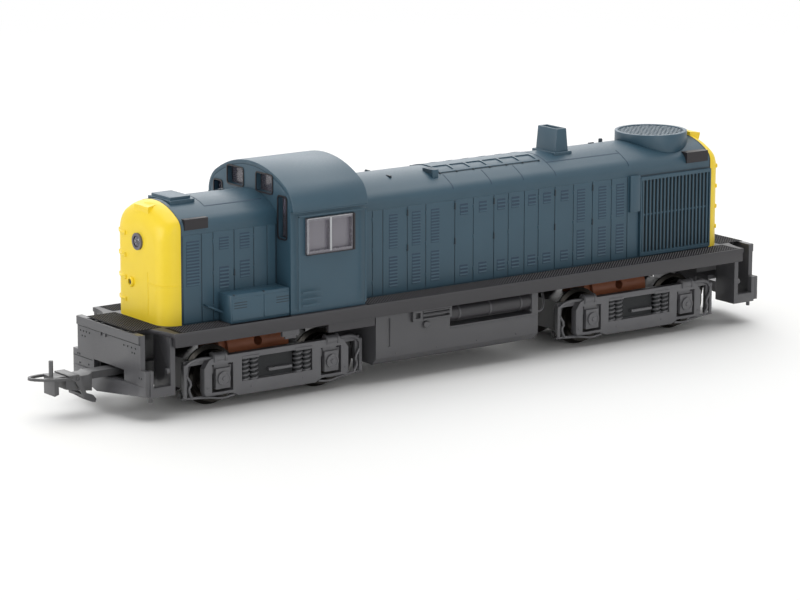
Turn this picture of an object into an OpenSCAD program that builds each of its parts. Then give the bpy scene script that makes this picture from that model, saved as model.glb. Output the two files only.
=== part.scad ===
// HO scale (1:87) road-switcher diesel locomotive with sprung-frame trucks.
// X runs forward, Y to the left, Z up. X = 0 is midway between the truck pivots
// and Z = 0 is the lowest point of the wheel flanges.

/* [Running gear] */
// Distance between the two truck pivots
truck_spacing = 105.2; // [100:0.2:112]
// Distance between the two axles of a truck
wheelbase = 29.3; // [28:0.1:30.5]
// Radius of the wheel treads
tread_r = 5.8; // [5.2:0.1:6.2]
// Depth of the wheel flanges
flange_h = 1; // [0.6:0.1:1.2]
// Distance between the inner faces of a wheelset
back_to_back = 14.4; // [14.2:0.1:14.6]
// Width of a wheel over tread and flange
wheel_w = 2.8; // [2.4:0.1:3]
// Radius of the axles
axle_r = 1; // [0.8:0.1:1.5]
// Running clearance round axles and pivot pins
run_gap = 0.05; // [0.03:0.01:0.08]
// Radius of the truck pivot pins
pivot_r = 1.8; // [1.5:0.1:2.4]
// Outer face of the truck side frames
frame_y = 13.2; // [12.9:0.1:13.8]
// Thickness of the truck side frames
frame_t = 1.8; // [1.4:0.1:2]
// Half width of the round-topped worm housing on each truck
worm_y = 5.6; // [5:0.1:5.8]
// Length of the worm housing
worm_l = 16.4; // [13:0.1:18]

/* [Walkway and underframe] */
// Half length over the pilots
pilot_x = 88.6; // [87:0.1:92]
// Half length of the full-width deck
deck_x = 81.9; // [81:0.1:84]
// Half width of the deck
deck_y = 17.2; // [16.6:0.1:18]
// Height of the deck top above the wheel treads
deck_h = 18.6; // [18.2:0.1:20]
// Thickness of the deck plate
deck_t = 1; // [0.8:0.1:1.4]
// Depth of the side sills
sill_h = 3.2; // [2.6:0.1:4]
// Thickness of the side sills
sill_t = 1.4; // [1:0.1:2]
// Half width of the chassis spine
spine_y = 6.8; // [5:0.1:7]
// Thickness of the chassis spine
spine_t = 2; // [1.6:0.1:2.4]
// Front end of the fuel tank
tank_front = 27.1; // [22:0.1:28]
// Rear end of the fuel tank
tank_rear = -19.8; // [-28:0.1:-18]
// Half width of the fuel tank
tank_y = 15.5; // [14:0.1:15.7]
// Clearance between the tank bottom and the wheel treads
tank_lift = 3.6; // [2.5:0.1:5]
// Radius of the air reservoirs
reservoir_r = 1.9; // [1.4:0.1:2]

/* [Pilots and steps] */
// Half width of the upper pilot plate
pilot_y = 13.2; // [12.5:0.1:14]
// Half width of the lower pilot plate
pilot_low_y = 15.2; // [14.5:0.1:16]
// Thickness of the pilot plates
pilot_t = 1.2; // [1:0.1:1.6]
// Half width of the coupler opening
mouth_y = 6.35; // [6:0.05:7]
// Reach of the plough ridge ahead of the pilot face
plough_reach = 3.2; // [2:0.1:3.6]

/* [Hoods] */
// Half width of both hoods
hood_y = 10.7; // [10:0.1:11.2]
// Height of the straight hood sides above the deck
hood_side_h = 21.2; // [20:0.1:23]
// Rise of the hood roof above the straight sides
hood_rise = 5.4; // [4.6:0.1:6]
// Radius of the hood shoulders
hood_shoulder = 3; // [2:0.1:4]
// Thickness of the hood and cab walls
wall = 1.2; // [1:0.1:1.5]
// Half length over both hoods
hood_x = 80.6; // [79.6:0.1:81]
// Length of the yellow front end
nose_l = 4.4; // [4:0.1:6]
// Length of the yellow rear end
tail_l = 4.2; // [3:0.1:5]
// Corner radius of the hood ends
nose_r = 4.4; // [2:0.1:5]

/* [Cab] */
// Front wall of the cab
cab_front = 50.9; // [48:0.1:53]
// Rear wall of the cab
cab_rear = 30.5; // [28:0.1:32]
// Height of the straight cab sides above the deck
cab_side_h = 23.4; // [22:0.1:25]
// Rise of the cab roof above the straight sides
cab_rise = 9.4; // [8:0.1:10]
// Radius of the cab roof edges
cab_shoulder = 6.4; // [5:0.1:8]
// Thickness of the cab roof
cab_roof_t = 1; // [0.8:0.1:1.4]
// Length of the side window opening
window_l = 12.8; // [11:0.1:14]
// Height of the side window opening
window_h = 8.2; // [7:0.1:9]
// Thickness of the glazing
glass_t = 0.5; // [0.4:0.1:0.8]

/* [Radiator, fan and stack] */
// Length of the radiator grilles
grille_l = 22.1; // [18:0.1:23]
// Height of the radiator grilles
grille_h = 19.2; // [16:0.1:20]
// Number of vertical bars in a grille
grille_bars = 19; // [12:1:22]
// Outer radius of the radiator fan shroud
fan_r = 8.8; // [7:0.1:9]
// Height of the fan shroud rim above the hood roof
fan_h = 1.9; // [1.2:0.1:3]
// Distance of the fan centre behind the middle
fan_back = 66.4; // [62:0.1:68]
// Distance of the exhaust stack behind the middle
stack_back = 35.7; // [32:0.1:42]
// Height of the exhaust stack above the hood roof
stack_h = 5.6; // [4:0.1:7]

/* [Coupler] */
// Distance of the coupler pivot behind the pilot face
coupler_inset = 5.6; // [5:0.1:6]
// Length of the coupler head ahead of the pilot face
head_reach = 15.3; // [13:0.1:16]
// Reach of the loop tip past the hook plate
loop_reach = 5.2; // [5:0.1:7]
// Height of the coupler tongue above the wheel treads
tongue_h = 8.1; // [7.9:0.1:8.2]
// Height of the coupler's upright pin
horn_h = 3.4; // [2:0.1:4]

/* [Hidden] */

body_blue = "#3f5b6b";
end_yellow = "#f2d23a";
under_black = "#3a3a3c";
frame_grey = "#4a4a4d";
tower_brown = "#8a4f38";
steel = "#b9b9b6";
clear_grey = "#a9a4b4";
board_black = "#151517";

snug = 0.05;
axle_z = flange_h + tread_r;
deck_z = flange_h + deck_h;
deck_bottom = deck_z - deck_t;
spine_bottom = deck_bottom - spine_t;
sill_bottom = deck_z - sill_h;
truck_x = truck_spacing / 2;
hood_side_z = deck_z + hood_side_h;
hood_top_z = hood_side_z + hood_rise;
cab_side_z = deck_z + cab_side_h;
cab_top_z = cab_side_z + cab_rise;
cab_mid = (cab_front + cab_rear) / 2;
nose_x = hood_x - nose_l;
tail_x = -(hood_x - tail_l);
battery_top = deck_z + 6.4;
battery_front = cab_front + 15.75;
battery_y = 15.8;
pocket_back = pilot_x - pilot_t - 8.4;
coupler_x = pilot_x - coupler_inset;
tongue_z = flange_h + tongue_h;
tongue_t = 1.6;
tongue_gap = 0.3;
mouth_low = tongue_z - tongue_t / 2 - tongue_gap;
mouth_high = tongue_z + tongue_t / 2 + tongue_gap + 0.3;
hook_x = pilot_x + head_reach;
hinge_x = hook_x - 5.4;
hinge_z = tongue_z + 0.1;
hinge_r = 0.4;
head_y = 2.3;
loop_t = 0.6;
loop_y = head_y + 0.25;
tower_top = spine_bottom - 0.2;
gear_y = back_to_back / 2 - 0.6;
window_z = deck_z + 13.4;
window_mid = cab_mid - 0.2;
pane_y = deck_y - wall;

// Points of an arc from angle a to angle b, both ends included
function arc(cx, cz, r, a, b, n) =
  [for (i = [0:n]) [cx + r * cos(a + (b - a) * i / n), cz + r * sin(a + (b - a) * i / n)]];

// Section of a hood or roof: straight sides, a shoulder arc and a shallow crown arc
function crown_section(half_w, base, side, rise, shoulder, steps) =
  let (turn = 64,
    sx = half_w - shoulder + shoulder * cos(turn),
    sz = side + shoulder * sin(turn),
    sag = side + rise - sz,
    big = (sx * sx + sag * sag) / (2 * sag),
    swing = asin(sx / big),
    right = arc(half_w - shoulder, side, shoulder, 0, turn, steps),
    top = arc(0, side + rise - big, big, 90 - swing, 90 + swing, 2 * steps),
    left = arc(shoulder - half_w, side, shoulder, 180 - turn, 180, steps))
  concat([[-half_w, base], [half_w, base]], right,
    [for (i = [1:2 * steps - 1]) top[i]], left);

// Section drawn in Y and Z, carried from x0 to x1
module along_x(x0, x1) {
  translate([x0, 0, 0]) rotate([90, 0, 90]) linear_extrude(x1 - x0) children();
}

// Section drawn in X and Z, carried from y0 to y1
module along_y(y0, y1) {
  translate([0, y1, 0]) rotate([90, 0, 0]) linear_extrude(y1 - y0) children();
}

module block(low, high) {
  translate(low) cube(high - low);
}

module both_sides() {
  children();
  mirror([0, 1, 0]) children();
}

module at_truck(side) {
  translate([side * truck_x, 0, 0]) children();
}

module hood_shape(x0, x1, inset = 0) {
  along_x(x0, x1) polygon(crown_section(hood_y - inset, deck_z, hood_side_z, hood_rise - inset,
    hood_shoulder - inset, 6));
}

module cab_shape(x0, x1, inset = 0, base = deck_z) {
  along_x(x0, x1) polygon(crown_section(deck_y - inset, base, cab_side_z, cab_rise - inset,
    cab_shoulder - inset, 8));
}

/* ---- walkway and underframe ---- */

// One quarter of the deck outline, with the curved step well in its corner
well_x = pilot_x - deck_x - 0.3;
well_y = 10;
function deck_corner() = concat([[deck_x, deck_y]],
  [for (i = [0:10]) [pilot_x - pilot_t - (well_x - pilot_t) * cos(9 * i), deck_y - well_y * sin(9 * i)]]);

function flip_y(points) = [for (i = [len(points) - 1:-1:0]) [points[i][0], -points[i][1]]];
function turn_round(points) = [for (p = points) -p];

module walkway() {
  half = concat(deck_corner(), flip_y(deck_corner()));
  color(under_black) {
    translate([0, 0, deck_bottom]) linear_extrude(deck_t) polygon(concat(half, turn_round(half)));
    both_sides() block([-deck_x, deck_y - sill_t, sill_bottom], [deck_x, deck_y, deck_bottom]);
    both_sides() block([tank_front + 1.2, deck_y - sill_t, sill_bottom - 1.9],
      [tank_front + 14, deck_y - 0.4, sill_bottom]);
  }
}

module chassis_spine() {
  end = pilot_x - pilot_t;
  color(board_black) difference() {
    block([-end, -spine_y, spine_bottom], [end, spine_y, deck_bottom]);
    for (side = [-1, 1]) at_truck(side)
      translate([0, 0, spine_bottom - 1]) cylinder(h = spine_t + 2, r = pivot_r + run_gap, $fn = 48);
  }
}

// Pilot plate, wider below, with the coupler opening and a V-shaped plough under it
pilot_low = flange_h + 4.9;
pilot_split = flange_h + 10.6;
module pilot_plate() {
  half = [[pilot_low_y, pilot_low], [pilot_low_y, pilot_split], [pilot_y, pilot_split],
    [pilot_y, deck_z - 0.3], [spine_y + 0.6, deck_z - 0.3], [spine_y + 0.6, deck_bottom - 0.05]];
  difference() {
    along_x(pilot_x - pilot_t, pilot_x)
      polygon(concat(half, [for (i = [len(half) - 1:-1:0]) [-half[i][0], half[i][1]]]));
    block([pilot_x - pilot_t - 1, -mouth_y, mouth_low], [pilot_x + 1, mouth_y, mouth_high]);
  }
  plough();
}

// Two curved wings that meet in a forward-leaning ridge
module plough() {
  ridge_top = mouth_low - 0.01;
  ridge_low = flange_h + 3.9;
  steps = 6;
  rows = 5;
  lip = 1.05;
  function lean(v) = (1 - v) * (1 - 0.67 * v);
  function front(u, v) = pilot_x + (1 - u) * (lip + (plough_reach - lip) * lean(v)) + 0.02;
  function low(u) = ridge_low + (pilot_low - ridge_low) * u;
  function level(u, v) = low(u) + (ridge_top - low(u)) * v;
  points = [for (i = [-steps:steps], j = [0:rows])
    let (u = abs(i) / steps, v = j / rows)
    [front(u, v), pilot_low_y * i / steps, level(u, v)]];
  back = [for (i = [-steps:steps], j = [0:rows])
    [pilot_x - 0.2, pilot_low_y * i / steps, level(abs(i) / steps, j / rows)]];
  n = (2 * steps + 1) * (rows + 1);
  function at(i, j) = i * (rows + 1) + j;
  skin = [for (i = [0:2 * steps - 1], j = [0:rows - 1], k = [0, 1])
    k == 0 ? [at(i, j), at(i, j + 1), at(i + 1, j + 1)] : [at(i, j), at(i + 1, j + 1), at(i + 1, j)]];
  rear = [for (f = skin) [n + f[2], n + f[1], n + f[0]]];
  low_rim = [for (i = [0:2 * steps - 1], k = [0, 1])
    k == 0 ? [at(i, 0), at(i + 1, 0), n + at(i + 1, 0)] : [at(i, 0), n + at(i + 1, 0), n + at(i, 0)]];
  top_rim = [for (i = [0:2 * steps - 1], k = [0, 1]) k == 0
    ? [at(i, rows), n + at(i + 1, rows), at(i + 1, rows)]
    : [at(i, rows), n + at(i, rows), n + at(i + 1, rows)]];
  side_a = [for (j = [0:rows - 1], k = [0, 1])
    k == 0 ? [at(0, j), n + at(0, j), n + at(0, j + 1)] : [at(0, j), n + at(0, j + 1), at(0, j + 1)]];
  last = 2 * steps;
  side_b = [for (j = [0:rows - 1], k = [0, 1]) k == 0
    ? [at(last, j), n + at(last, j + 1), n + at(last, j)]
    : [at(last, j), at(last, j + 1), n + at(last, j + 1)]];
  polyhedron(concat(points, back), concat(skin, rear, low_rim, top_rim, side_a, side_b));
}

module front_pilot() {
  color(under_black) pilot_plate();
}

// The rear pilot has a bare coupler seat: a shelf behind the opening with a pin under it
seat_l = 8;
module rear_pilot() {
  face = pilot_x - pilot_t;
  color(under_black) mirror([1, 0, 0]) {
    pilot_plate();
    block([face - seat_l, -mouth_y - 1, mouth_high], [face, mouth_y + 1, mouth_high + 1]);
    block([face - seat_l, -3, mouth_high + 1], [face, 3, spine_bottom]);
    translate([coupler_x, 0, mouth_high - 2.8]) cylinder(h = 2.8, r = 0.95, $fn = 32);
  }
}

// Corner steps: riser plate, bottom tread and the outer U of the step side
module step_set() {
  foot = flange_h + 4.5;
  back = deck_x - 0.9;
  face = pilot_x - pilot_t;
  outer = pilot_low_y + 0.1;
  both_sides() {
    block([back, 8.4, foot], [back + 1.2, outer, deck_bottom]);
    block([back + 1.2, outer - 1.4, foot], [face, outer, foot + 2.2]);
    block([back + 1.2, outer - 5, foot], [face, outer - 1.4, foot + 0.8]);
    block([face - 0.8, outer - 1.4, foot + 2.2], [face, outer, pilot_split]);
    translate([back + 1.2, outer - 0.8, flange_h + 9.9]) rotate([0, 90, 0])
      cylinder(h = 0.8, r = 0.7, $fn = 24);
    translate([face - 0.7, 14, flange_h + 3.3]) cylinder(h = foot - flange_h - 3.3, r = 0.45, $fn = 24);
  }
}

module front_steps() {
  color(under_black) step_set();
}

module rear_steps() {
  color(under_black) mirror([1, 0, 0]) step_set();
}

tank_bottom = flange_h + tank_lift;
recess_y = 11.4;
recess_z = spine_bottom - 5.4;
recess_front = tank_front - 21.1;
recess_rear = tank_rear + 1.9;

module fuel_tank() {
  chamfer = 1.6;
  half = [[tank_y - chamfer, tank_bottom], [tank_y, tank_bottom + chamfer], [tank_y, spine_bottom]];
  color(under_black) difference() {
    along_x(tank_rear, tank_front) polygon(concat(half, [for (i = [2:-1:0]) [-half[i][0], half[i][1]]]));
    both_sides() block([recess_rear, recess_y, recess_z], [recess_front, tank_y + 1, spine_bottom + 1]);
    both_sides() block([tank_front - 4, tank_y - 0.4, tank_bottom + 4],
      [tank_front - 3.4, tank_y + 1, tank_bottom + 10.8]);
  }
}

module air_reservoirs() {
  color(under_black) both_sides() translate([recess_rear, recess_y + reservoir_r + 0.1, recess_z + 2.7])
    rotate([0, 90, 0]) cylinder(h = recess_front - recess_rear, r = reservoir_r, $fn = 48);
}

// Ladder-shaped hanger on each tank side
module tank_brackets() {
  hanger_l = 11.1;
  hanger_z = spine_bottom - 2.9;
  x0 = recess_front + 0.1;
  color(under_black) both_sides() difference() {
    block([x0, tank_y, hanger_z], [x0 + hanger_l, tank_y + 0.8, sill_bottom]);
    translate([x0 + hanger_l - 2.1, tank_y - 1, hanger_z + 0.7]) cube([1.3, 3, 1.3]);
    for (i = [0, 1]) translate([x0 + 0.7, tank_y - 1, hanger_z + 0.55 + i]) cube([7.6, 3, 0.5]);
  }
}

/* ---- hoods ---- */

module short_hood() {
  color(body_blue) difference() {
    hood_shape(cab_front, nose_x);
    hood_shape(cab_front - 1, nose_x - wall, wall);
    block([cab_front - 1, wall - hood_y, deck_z - 1], [nose_x - wall, hood_y - wall, deck_z + 1]);
  }
}

module long_hood() {
  color(body_blue) difference() {
    hood_shape(tail_x, cab_rear);
    hood_shape(tail_x + wall, cab_rear + 1, wall);
    block([tail_x + wall, wall - hood_y, deck_z - 1], [cab_rear + 1, hood_y - wall, deck_z + 1]);
  }
}

visor_y = 2.9;
visor_tip = 0.9;
nose_drop = 5.2;
// Hood end whose section shrinks and grows rounder over its last stretch, as rings of points.
// Its lamp visor has the heights rise at the back, edge at the tip and under below the tip.
module hood_end(length, rise, edge, under) {
  reach = min(nose_r, length - 0.1);
  turns = [for (i = [0:10]) 9 * i];
  function ring_x(t) = hood_x - reach * (1 - sin(t));
  function ring(t) = let (k = 1 - cos(t))
    [for (p = crown_section(hood_y - 4.2 * k, deck_z, hood_side_z - nose_drop * k, hood_rise - 0.6 * k,
      hood_shoulder + 2 * k, 8)) [ring_x(t), p[0], p[1]]];
  first = [for (p = ring(0)) [hood_x - length, p[1], p[2]]];
  rings = concat([first], [for (t = turns) ring(t)]);
  n = len(first);
  last = len(rings) - 1;
  points = [for (r = rings) for (p = r) p];
  skin = [for (r = [0:last - 1], i = [0:n - 1])
    [r * n + i, (r + 1) * n + i, (r + 1) * n + (i + 1) % n, r * n + (i + 1) % n]];
  split_skin = [for (q = skin, k = [0, 1]) k == 0 ? [q[0], q[1], q[2]] : [q[0], q[2], q[3]]];
  start_cap = [[for (i = [0:n - 1]) i]];
  end_cap = [[for (i = [n - 1:-1:0]) last * n + i]];
  polyhedron(points, concat(split_skin, start_cap, end_cap));
  tip_x = hood_x - visor_tip;
  along_y(-visor_y, visor_y) polygon([[hood_x - reach, hood_top_z - 4], [tip_x - 1.3, hood_top_z - 4],
    [tip_x, hood_top_z + under], [tip_x, hood_top_z + edge], [hood_x - reach, hood_top_z + rise]]);
}

module front_end() {
  color(end_yellow) hood_end(nose_l, -0.3, -1, -2.4);
}

module rear_end() {
  color(end_yellow) mirror([1, 0, 0]) hood_end(tail_l, 0.75, 0.35, -0.2);
}

// Two-step hatch on the short hood roof
module short_hood_hatch() {
  color(body_blue) difference() {
    union() {
      block([nose_x - 7.5, -4.7, hood_side_z], [nose_x - 1.2, 4.7, hood_top_z + 0.15]);
      block([nose_x - 6.9, -3.9, hood_side_z], [nose_x - 1.6, 3.9, hood_top_z + 0.8]);
    }
    hood_shape(cab_front, nose_x);
  }
}

module battery_box() {
  color(body_blue) block([cab_front, hood_y, deck_z], [battery_front, battery_y, battery_top]);
}

module battery_box_left() {
  battery_box();
}

module battery_box_right() {
  mirror([0, 1, 0]) battery_box();
}

/* ---- cab ---- */

module side_window_hole() {
  along_y(pane_y - 3, deck_y + 1) translate([window_mid - window_l / 2, window_z])
    square([window_l, window_h]);
}

// Panes of one end wall: two above the hood, two over the walkways
pane_in = [2.7, 9];
pane_out = [11.4, 14.6];
module end_panes(grow = 0) {
  low_in = hood_top_z - 0.1;
  low_out = window_z + 3.6;
  for (side = [-1, 1]) scale([side, 1]) {
    translate([pane_in[0] - grow, low_in - grow])
      square([pane_in[1] - pane_in[0] + 2 * grow, 4 + 2 * grow]);
    translate([pane_out[0] - grow, low_out - grow])
      square([pane_out[1] - pane_out[0] + 2 * grow, 9.4 + 2 * grow]);
  }
}

module cab_body() {
  color(body_blue) difference() {
    intersection() {
      cab_shape(cab_rear, cab_front, cab_roof_t);
      block([cab_rear, -deck_y, deck_z], [cab_front, deck_y, cab_top_z]);
    }
    cab_shape(cab_rear + wall, cab_front - wall, cab_roof_t + 0.2, deck_z - 1);
    block([cab_rear + wall, -pane_y, cab_side_z - 1], [cab_front - wall, pane_y, cab_top_z]);
    both_sides() side_window_hole();
    along_x(cab_rear - 1, cab_front + 1) end_panes();
  }
}

module cab_roof() {
  color(body_blue) difference() {
    cab_shape(cab_rear, cab_front, 0, cab_side_z);
    cab_shape(cab_rear - 1, cab_front + 1, cab_roof_t, cab_side_z - 1);
  }
}

module side_window_frames() {
  rim = 0.7;
  y0 = pane_y;
  y1 = deck_y - 0.3;
  x0 = window_mid - window_l / 2;
  color(steel) both_sides() difference() {
    block([x0, y0, window_z], [x0 + window_l, y1, window_z + window_h]);
    for (i = [0, 1]) translate([x0 + rim + i * (window_l - rim) / 2, y0 - 1, window_z + rim])
      cube([(window_l - 3 * rim) / 2, 4, window_h - 2 * rim]);
  }
}

module side_glazing() {
  over = 0.8;
  color(clear_grey) both_sides()
    block([window_mid - window_l / 2 - over, pane_y - glass_t, window_z - over],
      [window_mid + window_l / 2 + over, pane_y, window_z + window_h + over]);
}

module end_glazing(x0, x1) {
  color(clear_grey) intersection() {
    along_x(x0, x1) end_panes(0.4);
    cab_shape(cab_rear, cab_front, cab_roof_t + snug);
  }
}

module front_glazing() {
  end_glazing(cab_front - wall - glass_t, cab_front - wall);
}

module rear_glazing() {
  end_glazing(cab_rear + wall, cab_rear + wall + glass_t);
}

/* ---- long hood fittings ---- */

grille_front = -54;
grille_z = deck_z + 0.4;

module shutter_panels() {
  color(body_blue) both_sides() block([grille_front + 0.1, hood_y, deck_z + 11.4],
    [grille_front + 3.2, hood_y + 0.8, deck_z + 20.2]);
}

// Framed radiator grille with upright bars and one thin cross bar
module radiator_grille() {
  rim = 0.8;
  edge = 0.4;
  deep = 0.8;
  x0 = grille_front - grille_l;
  pitch = (grille_l - 2 * edge) / grille_bars;
  color(body_blue) translate([x0, hood_y, grille_z]) {
    cube([grille_l, 0.2, grille_h]);
    translate([0, 0.2, 0]) difference() {
      cube([grille_l, deep - 0.2, grille_h]);
      translate([edge, -1, rim]) cube([grille_l - 2 * edge, deep + 2, grille_h - 2 * rim]);
    }
    for (i = [0:grille_bars - 1])
      translate([edge + pitch * (i + 0.3), 0.2, rim]) cube([pitch * 0.4, deep - 0.4, grille_h - 2 * rim]);
  }
}

module radiator_grille_left() {
  radiator_grille();
}

module radiator_grille_right() {
  mirror([0, 1, 0]) radiator_grille();
}

module fan_shroud() {
  top = hood_top_z + fan_h;
  color(body_blue) difference() {
    translate([-fan_back, 0, hood_side_z]) cylinder(h = top - hood_side_z, r = fan_r, $fn = 96);
    translate([-fan_back, 0, hood_side_z - 1])
      cylinder(h = hood_rise + fan_h + 2, r = fan_r - 0.9, $fn = 96);
    hood_shape(tail_x, cab_rear);
  }
}

// Wire guard across the fan opening
module fan_grille() {
  top = hood_top_z + fan_h - 0.2;
  pitch = 1.3;
  reach = fan_r - 0.9;
  color(board_black) translate([-fan_back, 0, top - 0.5]) intersection() {
    cylinder(h = 0.5, r = reach - snug, $fn = 96);
    union() {
      for (i = [-6:6]) translate([-reach, pitch * i - 0.2, 0]) cube([2 * reach, 0.4, 0.5]);
      for (i = [-6:6]) translate([pitch * i - 0.2, -reach, 0]) cube([0.4, 2 * reach, 0.5]);
    }
  }
}

module exhaust_stack() {
  top = hood_top_z + stack_h;
  base = hood_top_z;
  side = [[-2, hood_side_z], [2, hood_side_z], [2, base], [1.4, top], [-1.4, top], [-2, base]];
  color(body_blue) translate([-stack_back, 0, 0]) difference() {
    along_y(-3.7, 3.7) polygon(side);
    block([-0.9, -3, top - 4], [0.9, 3, top + 1]);
    translate([stack_back, 0, 0]) hood_shape(tail_x, cab_rear);
  }
}

module roof_vent() {
  color(body_blue) difference() {
    block([3.3, 3.1, hood_side_z], [5, 7.1, hood_top_z + 0.3]);
    hood_shape(tail_x, cab_rear);
  }
}

// Two rows of low rectangular frames that follow the hood roof
module roof_hatch_frames() {
  cells = 6;
  cell_l = 4.85;
  first_x = 1.9;
  proud = 0.22;
  color(body_blue) difference() {
    intersection() {
      hood_shape(first_x - cells * cell_l, first_x, -proud);
      block([first_x - cells * cell_l, -5.6, hood_side_z], [first_x, 5.6, hood_top_z + 1]);
    }
    for (i = [0:cells - 1], side = [-1, 1])
      translate([first_x - (i + 1) * cell_l + 0.3, side * 3.5 - 1.5, hood_side_z])
        cube([cell_l - 0.6, 3, 9]);
    hood_shape(tail_x, cab_rear);
  }
}

module number_board(x0, x1, z0, z1) {
  both_sides() difference() {
    block([x0, hood_y - 2.6, z0], [x1, hood_y + 0.3, z1]);
    hood_shape(x0 - 1, x1 + 1);
  }
}

module front_number_boards() {
  color(board_black) number_board(nose_x - 6.9, nose_x - 0.8, hood_side_z, hood_side_z + 2.4);
}

module rear_number_boards() {
  color(board_black) number_board(tail_x + 1, tail_x + 7.7, hood_side_z + 0.3, hood_side_z + 2.9);
}

module headlight(x0) {
  color(steel) difference() {
    translate([x0, 0, hood_side_z - 3.5]) rotate([0, 90, 0]) cylinder(h = 0.5, r = 1.9, $fn = 48);
    translate([x0 + 0.2, 0, hood_side_z - 3.5]) rotate([0, 90, 0]) cylinder(h = 2, r = 1.3, $fn = 48);
  }
}

module front_headlight() {
  headlight(hood_x);
}

module rear_headlight() {
  mirror([1, 0, 0]) headlight(hood_x);
}

module motor() {
  color("dimgray") block([-24, -7.6, deck_z], [12, 7.6, deck_z + 15]);
}

/* ---- coupler ---- */

module coupler_pocket() {
  face = pilot_x - pilot_t;
  color(board_black) {
    difference() {
      block([pocket_back, -6.2, mouth_low - 1], [face, 6.2, mouth_high + 1]);
      block([pocket_back + 1.2, -5.4, mouth_low], [face + 1, 5.4, mouth_high]);
    }
    block([pocket_back, -4, mouth_high + 1], [face, 4, spine_bottom]);
    translate([coupler_x, 0, mouth_low]) cylinder(h = mouth_high - mouth_low, r = 1, $fn = 32);
  }
}

// Tongue, shank box, top plate, hook plate and upright pin
module coupler_head() {
  box_x = pilot_x + 5.8;
  box_front = hook_x - 2.9;
  top = tongue_z + tongue_t / 2;
  low = tongue_z - tongue_t / 2;
  color(under_black) {
    difference() {
      union() {
        translate([coupler_x, 0, low]) cylinder(h = tongue_t, r = 2.4, $fn = 48);
        block([coupler_x, -1.7, low], [box_x, 1.7, top]);
      }
      translate([coupler_x, 0, low - 1]) cylinder(h = tongue_t + 2, r = 1 + run_gap, $fn = 32);
    }
    along_y(-head_y, head_y) polygon([[box_x, top], [box_x, low - 2.5], [box_x + 3, low - 2.1],
      [box_front, low - 1.4], [box_front, top - 0.4], [hinge_x + 0.8, top - 0.4],
      [hinge_x - 0.9, top - 0.4], [box_x + 1, top - 0.4]]);
    block([box_front, -head_y, top - 0.6], [hook_x, head_y, top]);
    along_y(-head_y, head_y) polygon([[hook_x - 1.1, top - 0.3], [hook_x - 1.1, low - 2.3],
      [hook_x, low - 2.6], [hook_x, top - 0.3]]);
    translate([hook_x - 0.5, 0, top - 0.2]) cylinder(h = horn_h + 0.2, r = 0.5, $fn = 32);
    translate([hinge_x, -loop_y - loop_t, hinge_z]) rotate([-90, 0, 0])
      cylinder(h = 2 * (loop_y + loop_t), r = hinge_r, $fn = 32);
  }
}

// Lifting loop on cross pins, with the curved counterweight below the shank
module coupler_loop() {
  tip = hook_x + loop_reach - hinge_x;
  wide = loop_y + loop_t;
  slope = 4;
  function bow(inset) = concat([[0.8, wide - inset], [tip - 5.6, wide - inset]],
    [for (i = [1:6])
      [tip - inset - 5.6 * (1 - sin(15 * i)), (wide - inset) * (1 - pow(i / 6, 1.4)) + 0.02]]);
  outer = bow(0);
  inner = bow(loop_t);
  color(board_black) translate([hinge_x, 0, hinge_z]) {
    rotate([0, -slope, 0]) translate([0, 0, -loop_t / 2]) linear_extrude(loop_t) difference() {
      polygon(concat(outer, flip_y(outer)));
      polygon(concat([[0, wide - loop_t]], inner, flip_y(inner), [[0, loop_t - wide]]));
    }
    both_sides() difference() {
      along_y(loop_y, wide) polygon([[1.3, 0.9], [-0.3, 0.9], [-0.8, 0.4], [-2.3, -3.9], [-1.5, -4.2],
        [0.5, -0.7], [1.3, -0.4]]);
      rotate([-90, 0, 0]) cylinder(h = 9, r = hinge_r + run_gap, $fn = 32);
    }
    block([-0.3, -wide, 0.5], [2.2, wide, 0.9]);
    along_y(-wide, wide) polygon([[-2.1, -3.6], [-1.3, -3.8], [-1.4, -4.5], [-2.3, -4.3]]);
    along_y(-0.65, 0.65) polygon([[-1.2, -4.4], [-2.2, -3.7], [-5.4, -4.9], [-6.2, -5.9], [-5.9, -6.6],
      [-5, -6.4], [-3, -5.5]]);
  }
}

/* ---- trucks ---- */

// Cast side frame: pedestals round the journal boxes, a spring window and a deep lower beam
window_x = 9.5;
leg_x = 4.8;
module frame_outline() {
  ax = wheelbase / 2;
  half = [[ax - 4.4, 1.5], [ax - 2.5, 2.35], [ax + leg_x - 0.4, 2.35], [ax + leg_x, 3.2], [ax + leg_x, 8.6],
    [ax + leg_x - 1.3, 10.4], [ax + leg_x - 2.9, 11], [ax - 4.2, 11]];
  translate([0, flange_h]) polygon(concat(half, [for (i = [len(half) - 1:-1:0]) [-half[i][0], half[i][1]]]));
}

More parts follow.
